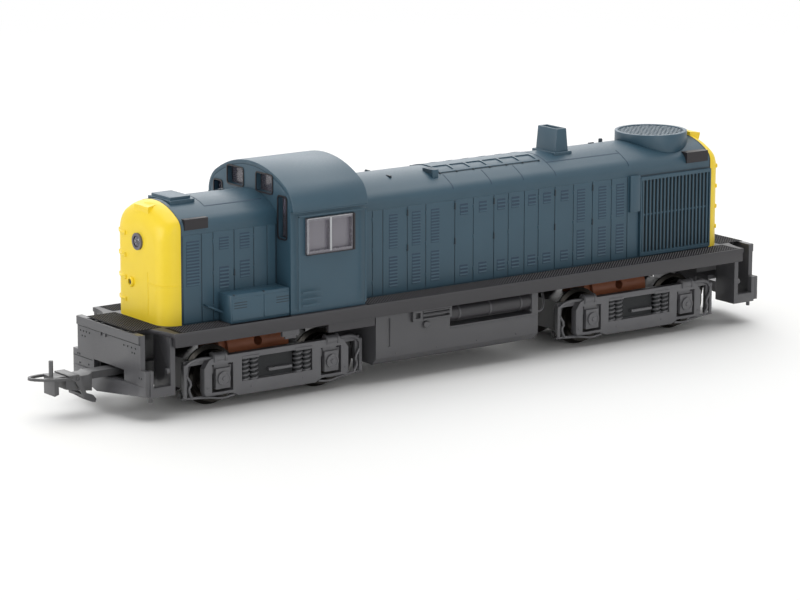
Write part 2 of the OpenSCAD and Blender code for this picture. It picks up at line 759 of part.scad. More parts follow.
module side_frame() {
  ax = wheelbase / 2;
  inner = frame_y - frame_t;
  box_h = 4.65;
  spring_low = axle_z - 1.25;
  spring_h = 5.2;
  color(frame_grey) {
    difference() {
      along_y(inner, frame_y) frame_outline();
      along_y(inner - 1, frame_y + 1) {
        translate([-window_x, spring_low]) square([2 * window_x, spring_h]);
        for (side = [-1, 1]) translate([side * ax - 2.8, axle_z - 2.85]) square([5.6, 6.3]);
      }
    }
    // Journal boxes with round covers, held by their top and side lips
    for (side = [-1, 1]) translate([side * ax, 0, axle_z + 0.1]) {
      block([-1.9, inner, 2.4 - box_h], [1.9, frame_y + 0.2, 2.4]);
      translate([0, frame_y + 0.2, 0.1]) rotate([-90, 0, 0]) cylinder(h = 0.5, r = 1.6, $fn = 40);
      block([-2.8, inner, 1.2], [2.8, frame_y - 0.9, 2.8]);
      block([-1.9, inner, 2.4], [1.9, frame_y - 0.6, 3.35]);
    }
    // Spring groups in the window and the plank between them
    for (i = [-1, 1], j = [0, 1]) translate([i * (window_x - 1.2 - 2.3 * j), frame_y - 0.9, spring_low])
      cylinder(h = spring_h, r = 0.8, $fn = 24);
    block([4.7 - window_x, inner, spring_low], [window_x - 4.7, inner + 0.6, spring_low + spring_h]);
    // Brake hangers at both ends
    for (side = [0, 1]) mirror([side, 0, 0]) {
      block([ax + 2.6, inner - 0.9, flange_h + 9.3], [ax + 9.1, inner, flange_h + 10.4]);
      block([ax + 7.9, inner - 0.9, flange_h + 2.8], [ax + 9.1, inner, flange_h + 9.3]);
    }
  }
}

gear_top = axle_z + 3.4;

module gearcase() {
  ax = wheelbase / 2;
  arm_x = 4.4;
  color(board_black) difference() {
    union() {
      block([-ax - 4.4, -gear_y, flange_h + 2.2], [ax + 4.4, gear_y, gear_top]);
      block([-arm_x, frame_t - frame_y, gear_top - 2.4], [arm_x, frame_y - frame_t, gear_top]);
    }
    for (side = [-1, 1]) translate([side * ax, -gear_y - 1, axle_z]) rotate([-90, 0, 0])
      cylinder(h = 2 * gear_y + 2, r = axle_r + run_gap, $fn = 48);
  }
}

// Round-topped worm housing with a bearing cap at one end, a cross hole and the pivot pin
module tower() {
  round_z = tower_top - worm_y;
  cap_y = worm_y - 1.2;
  color(tower_brown) difference() {
    union() {
      along_x(-worm_l / 2, worm_l / 2) {
        translate([-worm_y, gear_top]) square([2 * worm_y, round_z - gear_top]);
        intersection() {
          translate([0, round_z]) circle(r = worm_y, $fn = 96);
          translate([-worm_y, round_z]) square([2 * worm_y, worm_y]);
        }
      }
      along_x(worm_l / 2, worm_l / 2 + 1.6) intersection() {
        translate([0, gear_top + 1]) circle(r = cap_y, $fn = 64);
        translate([-worm_y, gear_top]) square([2 * worm_y, worm_y]);
      }
      translate([0, 0, round_z])
        cylinder(h = spine_bottom + spine_t - 0.4 - round_z, r = pivot_r, $fn = 48);
    }
    translate([0, -worm_y - 1, gear_top + 2]) rotate([-90, 0, 0])
      cylinder(h = 2 * worm_y + 2, r = 1.1, $fn = 40);
  }
}

module front_truck_frame_left() {
  at_truck(1) side_frame();
}

module front_truck_frame_right() {
  at_truck(1) mirror([0, 1, 0]) side_frame();
}

module front_truck_gearcase() {
  at_truck(1) gearcase();
}

module front_truck_tower() {
  at_truck(1) tower();
}

module rear_truck_frame_left() {
  at_truck(-1) side_frame();
}

module rear_truck_frame_right() {
  at_truck(-1) mirror([0, 1, 0]) side_frame();
}

module rear_truck_gearcase() {
  at_truck(-1) gearcase();
}

module rear_truck_tower() {
  at_truck(-1) tower();
}

// Turned wheelset: axle, flanges, treads and dished wheel faces
module wheelset(x) {
  inner = back_to_back / 2;
  outer = inner + wheel_w;
  flange_r = tread_r + flange_h;
  half = [[axle_r, inner], [flange_r, inner], [flange_r, inner + 0.5], [tread_r + 0.1, inner + 0.9],
    [tread_r, outer], [tread_r - 0.9, outer], [tread_r - 1.3, outer - 0.7], [2, outer - 0.7], [2, outer],
    [0, outer]];
  color(steel) translate([x, 0, axle_z]) rotate([-90, 0, 0]) rotate_extrude($fn = 96)
    polygon(concat(half, [for (i = [len(half) - 1:-1:0]) [half[i][0], -half[i][1]]]));
}

module wheelset_1() {
  wheelset(truck_x + wheelbase / 2);
}

module wheelset_2() {
  wheelset(truck_x - wheelbase / 2);
}

module wheelset_3() {
  wheelset(wheelbase / 2 - truck_x);
}

module wheelset_4() {
  wheelset(-truck_x - wheelbase / 2);
}

walkway();
chassis_spine();
front_pilot();
rear_pilot();
front_steps();
rear_steps();
fuel_tank();
air_reservoirs();
tank_brackets();
short_hood();
front_end();
short_hood_hatch();
battery_box_left();
battery_box_right();
cab_body();
cab_roof();
side_window_frames();
side_glazing();
front_glazing();
rear_glazing();
long_hood();
rear_end();
shutter_panels();
radiator_grille_left();
radiator_grille_right();
fan_shroud();
fan_grille();
exhaust_stack();
roof_vent();
roof_hatch_frames();
front_number_boards();
rear_number_boards();
front_headlight();
rear_headlight();
motor();
coupler_pocket();
coupler_head();
coupler_loop();
front_truck_frame_left();
front_truck_frame_right();
front_truck_gearcase();
front_truck_tower();
rear_truck_frame_left();
rear_truck_frame_right();
rear_truck_gearcase();
rear_truck_tower();
wheelset_1();
wheelset_2();
wheelset_3();
wheelset_4();
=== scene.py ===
import math
import bpy
import numpy as np
from mathutils import Matrix, Vector


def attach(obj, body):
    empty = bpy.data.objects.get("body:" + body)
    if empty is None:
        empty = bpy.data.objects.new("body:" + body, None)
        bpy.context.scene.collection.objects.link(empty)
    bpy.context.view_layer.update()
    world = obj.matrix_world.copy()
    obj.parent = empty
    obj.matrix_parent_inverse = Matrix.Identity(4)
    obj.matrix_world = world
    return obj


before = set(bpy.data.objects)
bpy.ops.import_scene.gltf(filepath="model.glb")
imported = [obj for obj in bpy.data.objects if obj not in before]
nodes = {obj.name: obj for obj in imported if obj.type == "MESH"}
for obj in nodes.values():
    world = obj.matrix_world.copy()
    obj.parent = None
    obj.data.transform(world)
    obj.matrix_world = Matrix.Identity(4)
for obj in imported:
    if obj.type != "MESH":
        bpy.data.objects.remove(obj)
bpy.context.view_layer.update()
mm = 0.001
print("stage 1: frame loaded,", len(nodes), "nodes")


# every shape below is a pair: its corner points in mm, and a list of face arrays


def gridSheet(points, closeRows=False, closeCols=False):
    # rows x columns of points; each face joins four neighbours of the grid
    rows, cols = points.shape[:2]
    i, j = np.meshgrid(np.arange(rows if closeRows else rows - 1),
                       np.arange(cols if closeCols else cols - 1), indexing="ij")
    k, l = (i + 1) % rows, (j + 1) % cols
    quads = np.stack([i * cols + j, k * cols + j, k * cols + l, i * cols + l], axis=-1)
    return points.reshape(-1, 3), [quads.reshape(-1, 4)]


def merged(shapes):
    # one shape out of many: each one's face numbers move up by the points before it
    points, faces, start = [], [], 0
    for p, f in shapes:
        points.append(p)
        faces += [q + start for q in f]
        start += len(p)
    return np.concatenate(points), faces


def outward(shape):
    # the signed volume is the sum of corner triples; where it is negative, every face is turned
    points, faces = shape
    volume = 0.0
    for q in faces:
        for k in range(1, q.shape[1] - 1):
            volume += np.einsum("ij,ij->i", points[q[:, 0]],
                                np.cross(points[q[:, k]], points[q[:, k + 1]])).sum()
    return shape if volume > 0 else (points, [q[:, ::-1] for q in faces])


def copies(shape, offsets):
    # the same shape once at each offset, as whole arrays
    points, faces = shape
    offsets = np.asarray(offsets, float).reshape(-1, 3)
    starts = np.arange(len(offsets)) * len(points)
    spread = (points[None] + offsets[:, None]).reshape(-1, 3)
    return spread, [(q[None] + starts[:, None, None]).reshape(-1, q.shape[1]) for q in faces]


def mirrored(shape, axis=1):
    # one coordinate changes sign, and the faces turn round to keep facing out
    points, faces = shape
    turned = points.copy()
    turned[:, axis] *= -1
    return turned, [q[:, ::-1] for q in faces]


def bothSides(shape):
    # a shape and its mirror image across the centre line y = 0
    return merged([shape, mirrored(shape)])


def lofted(rings):
    # closed rings joined one to the next, with the first and last ring closed by a cap each
    count = rings.shape[1]
    points, faces = gridSheet(rings, closeCols=True)
    caps = [np.arange(count)[None, ::-1], (np.arange(count) + (len(rings) - 1) * count)[None]]
    return outward((points, faces + caps))


def placed(flat, level, axis):
    # a flat outline stood at a level along x, y or z
    t = np.full(len(flat), float(level))
    a, b = flat[:, 0], flat[:, 1]
    order = {"x": (t, a, b), "y": (a, t, b), "z": (a, b, t)}[axis]
    return np.stack(order, axis=1)


def insetOutline(outline, d):
    # each corner moves inwards along the sum of the normals of its two edges
    edge = np.roll(outline, -1, 0) - outline
    normal = np.stack([-edge[:, 1], edge[:, 0]], 1) / np.linalg.norm(edge, axis=1)[:, None]
    before = np.roll(normal, 1, 0)
    return outline + d * (normal + before) / (1 + (normal * before).sum(1))[:, None]


def prism(outline, low, high, axis="z", bevel=0.06):
    # outline carried from low to high, drawn in by the bevel at both ends
    outline = np.asarray(outline, float)
    x, y = outline[:, 0], outline[:, 1]
    if (x * np.roll(y, -1) - y * np.roll(x, -1)).sum() < 0:
        outline = outline[::-1]
    levels = [(low, bevel), (low + bevel, 0), (high - bevel, 0), (high, bevel)]
    return lofted(np.stack([placed(insetOutline(outline, d), t, axis) for t, d in levels]))


def brick(low, high, bevel=0.06, axis="z"):
    # rectangle with cut corners, carried along one axis
    k = "xyz".index(axis)
    a, b = [i for i in range(3) if i != k]
    c = bevel
    (x0, y0), (x1, y1) = (low[a], low[b]), (high[a], high[b])
    outline = [(x0 + c, y0), (x1 - c, y0), (x1, y0 + c), (x1, y1 - c), (x1 - c, y1),
               (x0 + c, y1), (x0, y1 - c), (x0, y0 + c)]
    return prism(outline, low[k], high[k], axis, bevel)


def circle(cx, cy, r, sides):
    # points at even angles t: (cx + r cos t, cy + r sin t)
    t = np.arange(sides) * 2 * math.pi / sides
    return np.stack([cx + r * np.cos(t), cy + r * np.sin(t)], 1)


def turned(profile, centre, axis, sides=24):
    # profile of (radius, level) pairs turned about an axis through centre
    ring = circle(0, 0, 1, sides)
    rings = np.stack([placed(ring * max(r, 1e-4), t, axis) for r, t in profile])
    points, faces = lofted(rings)
    return outward((points + np.asarray(centre, float), faces))


def swept(path, out, radius, sides=8):
    # circle carried along a path; out is the first radius direction at each point
    path, out = np.asarray(path, float), np.asarray(out, float)
    along = np.gradient(path, axis=0)
    along /= np.linalg.norm(along, axis=1)[:, None]
    out = out - (out * along).sum(1)[:, None] * along
    out /= np.linalg.norm(out, axis=1)[:, None]
    side = np.cross(along, out)
    t = np.arange(sides) * 2 * math.pi / sides
    rings = path[:, None] + radius * (out[:, None] * np.cos(t)[None, :, None]
                                      + side[:, None] * np.sin(t)[None, :, None])
    return lofted(rings)


def rod(path, radius, out=(0, 0, 1), sides=8, smooth=0):
    # tube through a few points; smooth adds points where the corners are rounded off
    path = np.asarray(path, float)
    for _ in range(smooth):
        a, b = path[:-1], path[1:]
        cut = np.empty((2 * len(a), 3))
        cut[0::2], cut[1::2] = 0.75 * a + 0.25 * b, 0.25 * a + 0.75 * b
        path = np.concatenate([path[:1], cut, path[-1:]])
    return swept(path, np.tile(np.asarray(out, float), (len(path), 1)), radius, sides)


def rivet(radius=0.25, height=0.14, sides=8):
    # low round head standing on z = 0: a quarter of a circle turned about z
    t = np.linspace(0, math.pi / 2, 4)
    profile = [(radius, -0.05)] + [(radius * math.cos(a), height * math.sin(a)) for a in t]
    return turned(profile, (0, 0, 0), "z", sides)


def facing(shape, axis, sign=1):
    # turns a shape that stands on z = 0 so that it stands on a wall that faces x or y
    p, f = shape
    order = {"x": [2, 0, 1], "y": [1, 2, 0], "z": [0, 1, 2]}[axis]
    q = p[:, order].copy()
    q[:, "xyz".index(axis)] *= sign
    return outward((q, f))


def crownSection(y, halfWidth, side, rise, shoulder, turn=64):
    # height of the roof over each y: a shallow crown arc, then the shoulder arc down to the side
    a = math.radians(turn)
    joinY = halfWidth - shoulder + shoulder * math.cos(a)
    sag = rise - shoulder * math.sin(a)
    big = (joinY ** 2 + sag ** 2) / (2 * sag)
    y = np.abs(y)
    crown = side + rise - big + np.sqrt(big ** 2 - np.minimum(y, joinY) ** 2)
    curve = side + np.sqrt(np.maximum(shoulder ** 2 - (y - halfWidth + shoulder) ** 2, 0))
    return np.where(y <= joinY, crown, curve)


hoodForm = {"halfWidth": 10.7, "side": 40.8, "rise": 5.4, "shoulder": 3.0}  # mm, as the hood's own roof


def roofBead(form, xMiddle, yFrom, yTo, width=0.2, height=0.04, steps=24):
    # thin strip that follows the roof across the hood: four corners carried along the section
    y = np.linspace(yFrom, yTo, steps)
    z = crownSection(y, **form)
    slope = np.gradient(z, y)
    ny, nz = -slope / np.hypot(1, slope), 1 / np.hypot(1, slope)
    rings = np.stack([np.stack([np.full(steps, xMiddle + dx), y + h * ny, z + h * nz], 1)
                      for dx, h in ((-width / 2, -0.1), (-width / 2, height),
                                    (width / 2, height), (width / 2, -0.1))], axis=1)
    return lofted(rings)


def roofRun(form, yMiddle, xFrom, xTo, width=0.24, height=0.04):
    # the same strip along the hood, tilted with the roof at its place
    y = np.array([yMiddle - width / 2, yMiddle + width / 2])
    z = crownSection(y, **form)
    outline = [(y[0], z[0] - 0.1), (y[1], z[1] - 0.1), (y[1], z[1] + height), (y[0], z[0] + height)]
    return prism(outline, xFrom, xTo, "x", 0.02)


def linear(hexText):
    # sRGB to linear light: a straight line up to 0.04045, a 2.4 power curve above it
    c = np.array([int(hexText[i:i + 2], 16) for i in (1, 3, 5)]) / 255
    return (*np.where(c <= 0.04045, c / 12.92, ((c + 0.055) / 1.055) ** 2.4).tolist(), 1.0)


def addNode(tree, kind, inputs=None, **settings):
    # adds a node, sets its settings, and links or sets each input
    node = tree.nodes.new(kind)
    for key, value in settings.items():
        setattr(node, key, value)
    for key, value in (inputs or {}).items():
        if isinstance(value, bpy.types.NodeSocket):
            tree.links.new(value, node.inputs[key])
        else:
            node.inputs[key].default_value = value
    return node


def surfaceFinish(name, look):
    # two close shades that drift slowly, a roughness that drifts with a finer cloud,
    # and a bump at the size of the surface's own grain
    material = bpy.data.materials.new(name)
    material.use_nodes = True
    tree = material.node_tree
    tree.nodes.clear()
    place = addNode(tree, "ShaderNodeTexCoord").outputs["Object"]
    perMetre = 1 / mm
    cloud = addNode(tree, "ShaderNodeTexNoise", {"Vector": place, "Scale": perMetre / look["patch"],
                                                 "Detail": 3.0, "Roughness": 0.55})
    tone = addNode(tree, "ShaderNodeMix", {"Factor": cloud.outputs[0], 6: linear(look["shade"]),
                                           7: linear(look["light"])}, data_type="RGBA")
    colour = tone.outputs[2]
    if "recess" in look:
        colour = recessTone(tree, place, colour, look["recess"])
    fine = addNode(tree, "ShaderNodeTexNoise", {"Vector": place, "Scale": perMetre / look["grain"],
                                                "Detail": 4.0, "Roughness": 0.6})
    low, high = look["rough"]
    rough = addNode(tree, "ShaderNodeMapRange", {"Value": fine.outputs[0], "From Min": 0.3,
                                                 "From Max": 0.7, "To Min": low, "To Max": high})
    bump = addNode(tree, "ShaderNodeBump", {"Height": fine.outputs[0],
                                            "Distance": look["depth"] * mm, "Strength": 1.0})
    normal = bump.outputs[0]
    if "lathe" in look:
        normal = latheRings(tree, place, normal, look["lathe"])
    shader = addNode(tree, "ShaderNodeBsdfPrincipled", {
        "Base Color": colour, "Roughness": rough.outputs[0], "Normal": normal,
        "Metallic": look.get("metal", 0.0), "IOR": look.get("ior", 1.5)})
    addNode(tree, "ShaderNodeOutputMaterial", {"Surface": shader.outputs[0]})
    return material


def recessTone(tree, place, colour, recess):
    # the wall behind the doors is darker, as the narrow gaps between them are in shade:
    # it holds where |y| is past the wall and z lies between two heights
    axes = addNode(tree, "ShaderNodeSeparateXYZ", {0: place})
    away = addNode(tree, "ShaderNodeMath", {0: axes.outputs[1]}, operation="ABSOLUTE")
    tests = [addNode(tree, "ShaderNodeMath", {0: away.outputs[0], 1: recess["wall"] * mm},
                     operation="GREATER_THAN"),
             addNode(tree, "ShaderNodeMath", {0: axes.outputs[2], 1: recess["low"] * mm},
                     operation="GREATER_THAN"),
             addNode(tree, "ShaderNodeMath", {0: axes.outputs[2], 1: recess["high"] * mm},
                     operation="LESS_THAN")]
    first = addNode(tree, "ShaderNodeMath", {0: tests[0].outputs[0], 1: tests[1].outputs[0]},
                    operation="MULTIPLY")
    both = addNode(tree, "ShaderNodeMath", {0: first.outputs[0], 1: tests[2].outputs[0]},
                   operation="MULTIPLY")
    mixed = addNode(tree, "ShaderNodeMix", {"Factor": both.outputs[0], 6: colour,
                                            7: linear(recess["shade"])}, data_type="RGBA")
    return mixed.outputs[2]


def latheRings(tree, place, normal, spacing):
    # rings round the y axis left by a turning tool; real ones are 0.05 mm apart, too fine to show,
    # so they are drawn at the given wider spacing
    turnsPerMetre = 1 / (spacing * mm) / 6.28
    waves = addNode(tree, "ShaderNodeTexWave", {"Vector": place, "Scale": turnsPerMetre},
                    wave_type="RINGS", rings_direction="Y")
    bump = addNode(tree, "ShaderNodeBump", {"Height": waves.outputs[1], "Distance": 0.01 * mm,
                                            "Strength": 0.5, "Normal": normal})
    return bump.outputs[0]


# sizes in mm: patch is the slow drift of the colour, grain the surface's own texture and depth its
# height; real grain is some 0.03 to 0.1 mm, too fine to show, so it is drawn a few times as coarse
looks = {
    # satin lacquer sprayed on moulded styrene: soft broad highlight, faint orange peel
    "satinBlueLacquer": {"shade": "#2D4856", "light": "#334F5F", "patch": 9, "grain": 0.35,
                         "depth": 0.005, "rough": (0.38, 0.47),
                         "recess": {"wall": 10.6, "low": 19.8, "high": 39.6, "shade": "#263742"}},
    # the same lacquer on the raised doors, panels and roof parts
    "satinBlueDoors": {"shade": "#2E4958", "light": "#345161", "patch": 9, "grain": 0.35,
                       "depth": 0.005, "rough": (0.38, 0.47)},
    # the same lacquer darkened to near black as painted shade: the shadow lines at the yellow ends, the
    # slots and the flue, and small hardware on the hood and roof
    "paintedShadeBlueLacquer": {"shade": "#1B2831", "light": "#202F39", "patch": 6, "grain": 0.35,
                          "depth": 0.006, "rough": (0.5, 0.6)},
    # the same blue darkened as painted shade: the shade inside the louvres' slots and along the roof
    # seams
    "slotBlueLacquer": {"shade": "#20364A", "light": "#263D50", "patch": 6, "grain": 0.35,
                        "depth": 0.006, "rough": (0.5, 0.6)},
    # painted shade: unlit black behind bars, inside openings and behind the springs, and on the pilots'
    # rivets and lines
    "deepBlack": {"shade": "#0B0E11", "light": "#101417", "patch": 6, "grain": 0.5,
                  "depth": 0.004, "rough": (0.6, 0.7)},
    # the same lacquer in yellow over a light primer: slightly thicker, so a little glossier
    "satinYellowLacquer": {"shade": "#F0CE1E", "light": "#F7D930", "patch": 7, "grain": 0.4,
                           "depth": 0.006, "rough": (0.36, 0.46)},
    # black styrene as it left the mould: dark grey with a dull shine
    "mouldedBlackStyrene": {"shade": "#434346", "light": "#4B4B4E", "patch": 8, "grain": 0.25,
                            "depth": 0.006, "rough": (0.32, 0.44), "ior": 1.59},
    # the walkway's black styrene, warmer and duller from handling
    "walkwayStyrene": {"shade": "#313033", "light": "#38373A", "patch": 8, "grain": 0.25,
                       "depth": 0.006, "rough": (0.4, 0.52)},
    # the ground between the studs, drawn nearly black and less shiny as painted shade
    "walkwayGroundShade": {"shade": "#0E0D10", "light": "#141316", "patch": 8, "grain": 0.25,
                      "depth": 0.006, "rough": (0.62, 0.74), "ior": 1.15},
    # stud tops painted lighter as a painted highlight, and a little shiny
    "studTopHighlight": {"shade": "#4E4D50", "light": "#59585B", "patch": 8, "grain": 0.25,
                    "depth": 0.006, "rough": (0.34, 0.46), "ior": 1.5},
    # black acetal of the gear parts: deep black, slightly waxy
    "blackAcetal": {"shade": "#1C1C1D", "light": "#242425", "patch": 6, "grain": 0.3,
                    "depth": 0.006, "rough": (0.35, 0.5)},
    # coupler plastic: the same black worn grey by handling
    "greyedAcetal": {"shade": "#4A4A4B", "light": "#58585A", "patch": 5, "grain": 0.3,
                     "depth": 0.006, "rough": (0.35, 0.48)},
    # truck side frames: dark grey styrene with a cast-looking grain
    "castLookStyrene": {"shade": "#58585B", "light": "#626265", "patch": 4, "grain": 0.22,
                        "depth": 0.008, "rough": (0.34, 0.48), "ior": 1.59},
    # brown acetal of the worm housing
    "brownAcetal": {"shade": "#985B40", "light": "#AC6B4B", "patch": 5, "grain": 0.4,
                    "depth": 0.006, "rough": (0.32, 0.45)},
    # nickel silver turned on a lathe, its colour darkened as painted shade, since the wheels sit in the
    # side frames' shadow: fine rings, dark mirror
    "turnedNickelSilver": {"shade": "#34322F", "light": "#413F3C", "patch": 5, "grain": 0.2,
                           "depth": 0.002, "rough": (0.26, 0.38), "metal": 1.0, "lathe": 0.35},
    # grey tinted styrene of the window inserts
    "tintedStyrene": {"shade": "#76747B", "light": "#817F86", "patch": 5, "grain": 0.5,
                      "depth": 0.003, "rough": (0.22, 0.32)},
    # dull grey metal paint of the lamp rims
    "dullLampMetal": {"shade": "#5E5B66", "light": "#6B6874", "patch": 3, "grain": 0.2,
                      "depth": 0.004, "rough": (0.3, 0.42), "metal": 0.4},
    # silver paint of window beads and lamp bowls
    "silverPaint": {"shade": "#A9ABAE", "light": "#C2C4C6", "patch": 3, "grain": 0.15,
                    "depth": 0.004, "rough": (0.35, 0.5), "metal": 0.3},
    # black panel paint of number boards and gaskets, and the near-black painted shade in the side
    # windows' reveals: smooth, with a wide soft shine
    "glossBlackPanel": {"shade": "#120E13", "light": "#1A151A", "patch": 4, "grain": 0.5,
                        "depth": 0.002, "rough": (0.42, 0.52)},
    # bare iron of the motor block: mid grey with a rough metal shine, closed in by the hood
    "plainIron": {"shade": "#55565A", "light": "#66676B", "patch": 6, "grain": 0.4,
                  "depth": 0.01, "rough": (0.4, 0.6), "metal": 1.0},
}
finishes = {name: surfaceFinish(name, look) for name, look in looks.items()}


def clearStyrene(name, tint, rough, clear=0.9):
    # moulded clear styrene: tinted, with a slow waviness from the mould
    material = bpy.data.materials.new(name)
    material.use_nodes = True
    tree = material.node_tree
    tree.nodes.clear()
    place = addNode(tree, "ShaderNodeTexCoord").outputs["Object"]
    wave = addNode(tree, "ShaderNodeTexNoise", {"Vector": place, "Scale": 1 / (3 * mm),
                                                "Detail": 1.0})
    bump = addNode(tree, "ShaderNodeBump", {"Height": wave.outputs[0], "Distance": 0.01 * mm})
    shader = addNode(tree, "ShaderNodeBsdfPrincipled", {
        "Base Color": linear(tint), "Roughness": rough, "IOR": 1.59,
        "Transmission Weight": clear, "Normal": bump.outputs[0]})
    addNode(tree, "ShaderNodeOutputMaterial", {"Surface": shader.outputs[0]})
    return material


# end windows nearly clear, side windows smoked and milky, lamp lenses the clearest
finishes["clearStyreneGlazing"] = clearStyrene("clearStyreneGlazing", "#B9B3C2", 0.12)
finishes["smokedStyreneGlazing"] = clearStyrene("smokedStyreneGlazing", "#8B8891", 0.25, 0.3)
finishes["lampLens"] = clearStyrene("lampLens", "#C9C4D2", 0.05)
print("stage 2:", len(finishes), "materials")


def putPiece(name, shapes, body, finish, sharp=35):
    # writes the arrays into one mesh in metres and lets it ride on its body
    points, faces = merged(shapes)
    mesh = bpy.data.meshes.new(name)
    sizes = np.concatenate([np.full(len(q), q.shape[1]) for q in faces])
    corners = np.concatenate([q.ravel() for q in faces])
    mesh.vertices.add(len(points))
    mesh.vertices.foreach_set("co", (points * mm).astype(np.float32).ravel())
    mesh.loops.add(len(corners))
    mesh.loops.foreach_set("vertex_index", corners.astype(np.int32))
    mesh.polygons.add(len(sizes))
    mesh.polygons.foreach_set("loop_start", (np.cumsum(sizes) - sizes).astype(np.int32))
    mesh.update(calc_edges=True)
    mesh.validate()
    mesh.polygons.foreach_set("use_smooth", np.ones(len(mesh.polygons), bool))
    mesh.set_sharp_from_angle(angle=math.radians(sharp))
    piece = bpy.data.objects.new(name, mesh)
    bpy.context.scene.collection.objects.link(piece)
    mesh.materials.append(finishes[finish])
    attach(piece, body)
    return piece


nodeFinish = {
    "satinBlueLacquer": ["short_hood", "long_hood"],
    "satinBlueDoors": ["short_hood_hatch", "battery_box_left", "battery_box_right", "cab_body",
                       "cab_roof", "shutter_panels", "radiator_grille_left", "radiator_grille_right",
                       "fan_shroud", "fan_grille", "exhaust_stack", "roof_vent", "roof_hatch_frames"],
    "satinYellowLacquer": ["front_end", "rear_end"],
    "walkwayStyrene": ["walkway", "air_reservoirs"],
    "mouldedBlackStyrene": ["front_pilot", "rear_pilot", "front_steps", "rear_steps", "fuel_tank",
                            "tank_brackets"],
    "blackAcetal": ["chassis_spine", "coupler_pocket", "front_truck_gearcase", "rear_truck_gearcase"],
    "greyedAcetal": ["coupler_head", "coupler_loop"],
    "castLookStyrene": ["front_truck_frame_left", "front_truck_frame_right", "rear_truck_frame_left",
                        "rear_truck_frame_right"],
    "brownAcetal": ["front_truck_tower", "rear_truck_tower"],
    "turnedNickelSilver": ["wheelset_1", "wheelset_2", "wheelset_3", "wheelset_4"],
    "dullLampMetal": ["front_headlight", "rear_headlight"],
    "tintedStyrene": ["side_window_frames"],
    "glossBlackPanel": ["front_number_boards", "rear_number_boards"],
    "clearStyreneGlazing": ["front_glazing", "rear_glazing"],
    "smokedStyreneGlazing": ["side_glazing"],
    "plainIron": ["motor"],
}
# width in mm of the rounding that the mould leaves on each node's edges
softEdge = {
    "walkway": 0.12, "front_pilot": 0.1, "rear_pilot": 0.1, "front_steps": 0.12, "rear_steps": 0.12,
    "fuel_tank": 0.2, "battery_box_left": 0.25, "battery_box_right": 0.25, "cab_body": 0.15,
    "cab_roof": 0.15, "short_hood_hatch": 0.12, "shutter_panels": 0.12, "exhaust_stack": 0.2,
    "roof_vent": 0.1, "fan_shroud": 0.15, "front_truck_frame_left": 0.14,
    "front_truck_frame_right": 0.14, "rear_truck_frame_left": 0.14, "rear_truck_frame_right": 0.14,
    "coupler_head": 0.12, "coupler_loop": 0.08, "short_hood": 0.1, "long_hood": 0.1,
}
edges = {"weld": 0.001, "segments": 2, "bevelFrom": 40, "creaseFrom": 32}  # mm, count, degrees

for finish, names in nodeFinish.items():
    for name in names:
        node = nodes[name]
        node.data.materials.clear()
        node.data.materials.append(finishes[finish])
        weld = node.modifiers.new("joined", "WELD")
        weld.merge_threshold = edges["weld"] * mm
        if name in softEdge:
            bevel = node.modifiers.new("softEdges", "BEVEL")
            bevel.width = softEdge[name] * mm
            bevel.segments = edges["segments"]
            bevel.limit_method = "ANGLE"
            bevel.angle_limit = math.radians(edges["bevelFrom"])
            bevel.use_clamp_overlap = True
        split = node.modifiers.new("creases", "EDGE_SPLIT")
        split.split_angle = math.radians(edges["creaseFrom"])
        node.data.polygons.foreach_set("use_smooth", np.ones(len(node.data.polygons), bool))
print("stage 3: finishes on the CAD nodes")

# hood doors: x of the lines between them, then of their latches and hinges
doors = {
    "thick": 0.14, "gap": 0.22, "low": 19.9, "top": 39.6,
    "longLines": [29.6, 24.77, 21.83, 14.92, 9.66, 1.32, -4.04, -10.04, -14.31, -19.05, -23.23,
                  -28.18, -33.77, -39.56, -45.39, -50.34, -53.9],
    "shortLines": [75.9, 71.0, 67.95, 62.4, 57.2, 53.6, 51.3],
    "longLatches": [14.92, 1.32, -10.04, -28.18, -39.56], "longLatchZ": (30.0, 38.2),
    "shortLatches": [62.4], "shortLatchZ": 30.0,
    "hinges": [24.77, 9.66, -4.04, -14.31, -23.23, -33.77, -45.39, 67.95, 57.2],
    "hingeZ": (23.0, 30.5, 37.6),
}
wall = hoodForm["halfWidth"]


def doorLeaves(lines):
    # one flat leaf between each two neighbouring lines, half a gap short of both
    half = doors["gap"] / 2
    leaves = [brick((min(a, b) + half, wall - 0.1, doors["low"]),
                    (max(a, b) - half, wall + doors["thick"], doors["top"]), 0.05, "y")
              for a, b in zip(lines[:-1], lines[1:])]
    return [bothSides(merged(leaves))]


putPiece("longHoodDoors", doorLeaves(doors["longLines"]), "locomotive", "satinBlueDoors")
putPiece("shortHoodDoors", doorLeaves(doors["shortLines"]), "locomotive", "satinBlueDoors")

louvres = {
    "out": 0.15, "blade": 0.4, "pitch": 0.74,
    "sets": [  # x of the middle, width, low, high
        *[(x, 2.3, z0, z1) for x in (18.9, 12.4, 7.0, -36.1, -42.6, -48.1)
          for z0, z1 in ((30.4, 38.2), (21.4, 28.4))],
        *[(x, 2.2, z0, z1) for x in (-1.3, -6.8, -12.2, -16.4, -21.3, -25.8, -31.1)
          for z0, z1 in ((36.0, 38.5), (21.6, 24.1))],
        (73.3, 3.3, 28.2, 38.2), (65.1, 2.4, 26.8, 31.6), (65.1, 2.4, 35.6, 38.2),
        (59.6, 2.5, 35.2, 38.6), (59.6, 2.5, 28.6, 32.4)],
}


def louvreBlades(xMiddle, width, low, high, face):
    # one blade is a wedge: flush at its top, standing out at its foot; the set repeats it upwards
    count = max(2, int(round((high - low) / louvres["pitch"])))
    step = (high - low) / count
    foot = louvres["blade"]
    wedge = [(face - 0.08, 0), (face + louvres["out"], 0.05),
             (face + louvres["out"] * 0.8, foot * 0.55), (face - 0.02, foot * 1.25),
             (face - 0.08, foot * 1.25)]
    blade = prism(wedge, xMiddle - width / 2, xMiddle + width / 2, "x", 0.04)
    return copies(blade, [(0, 0, low + step * i) for i in range(count)])


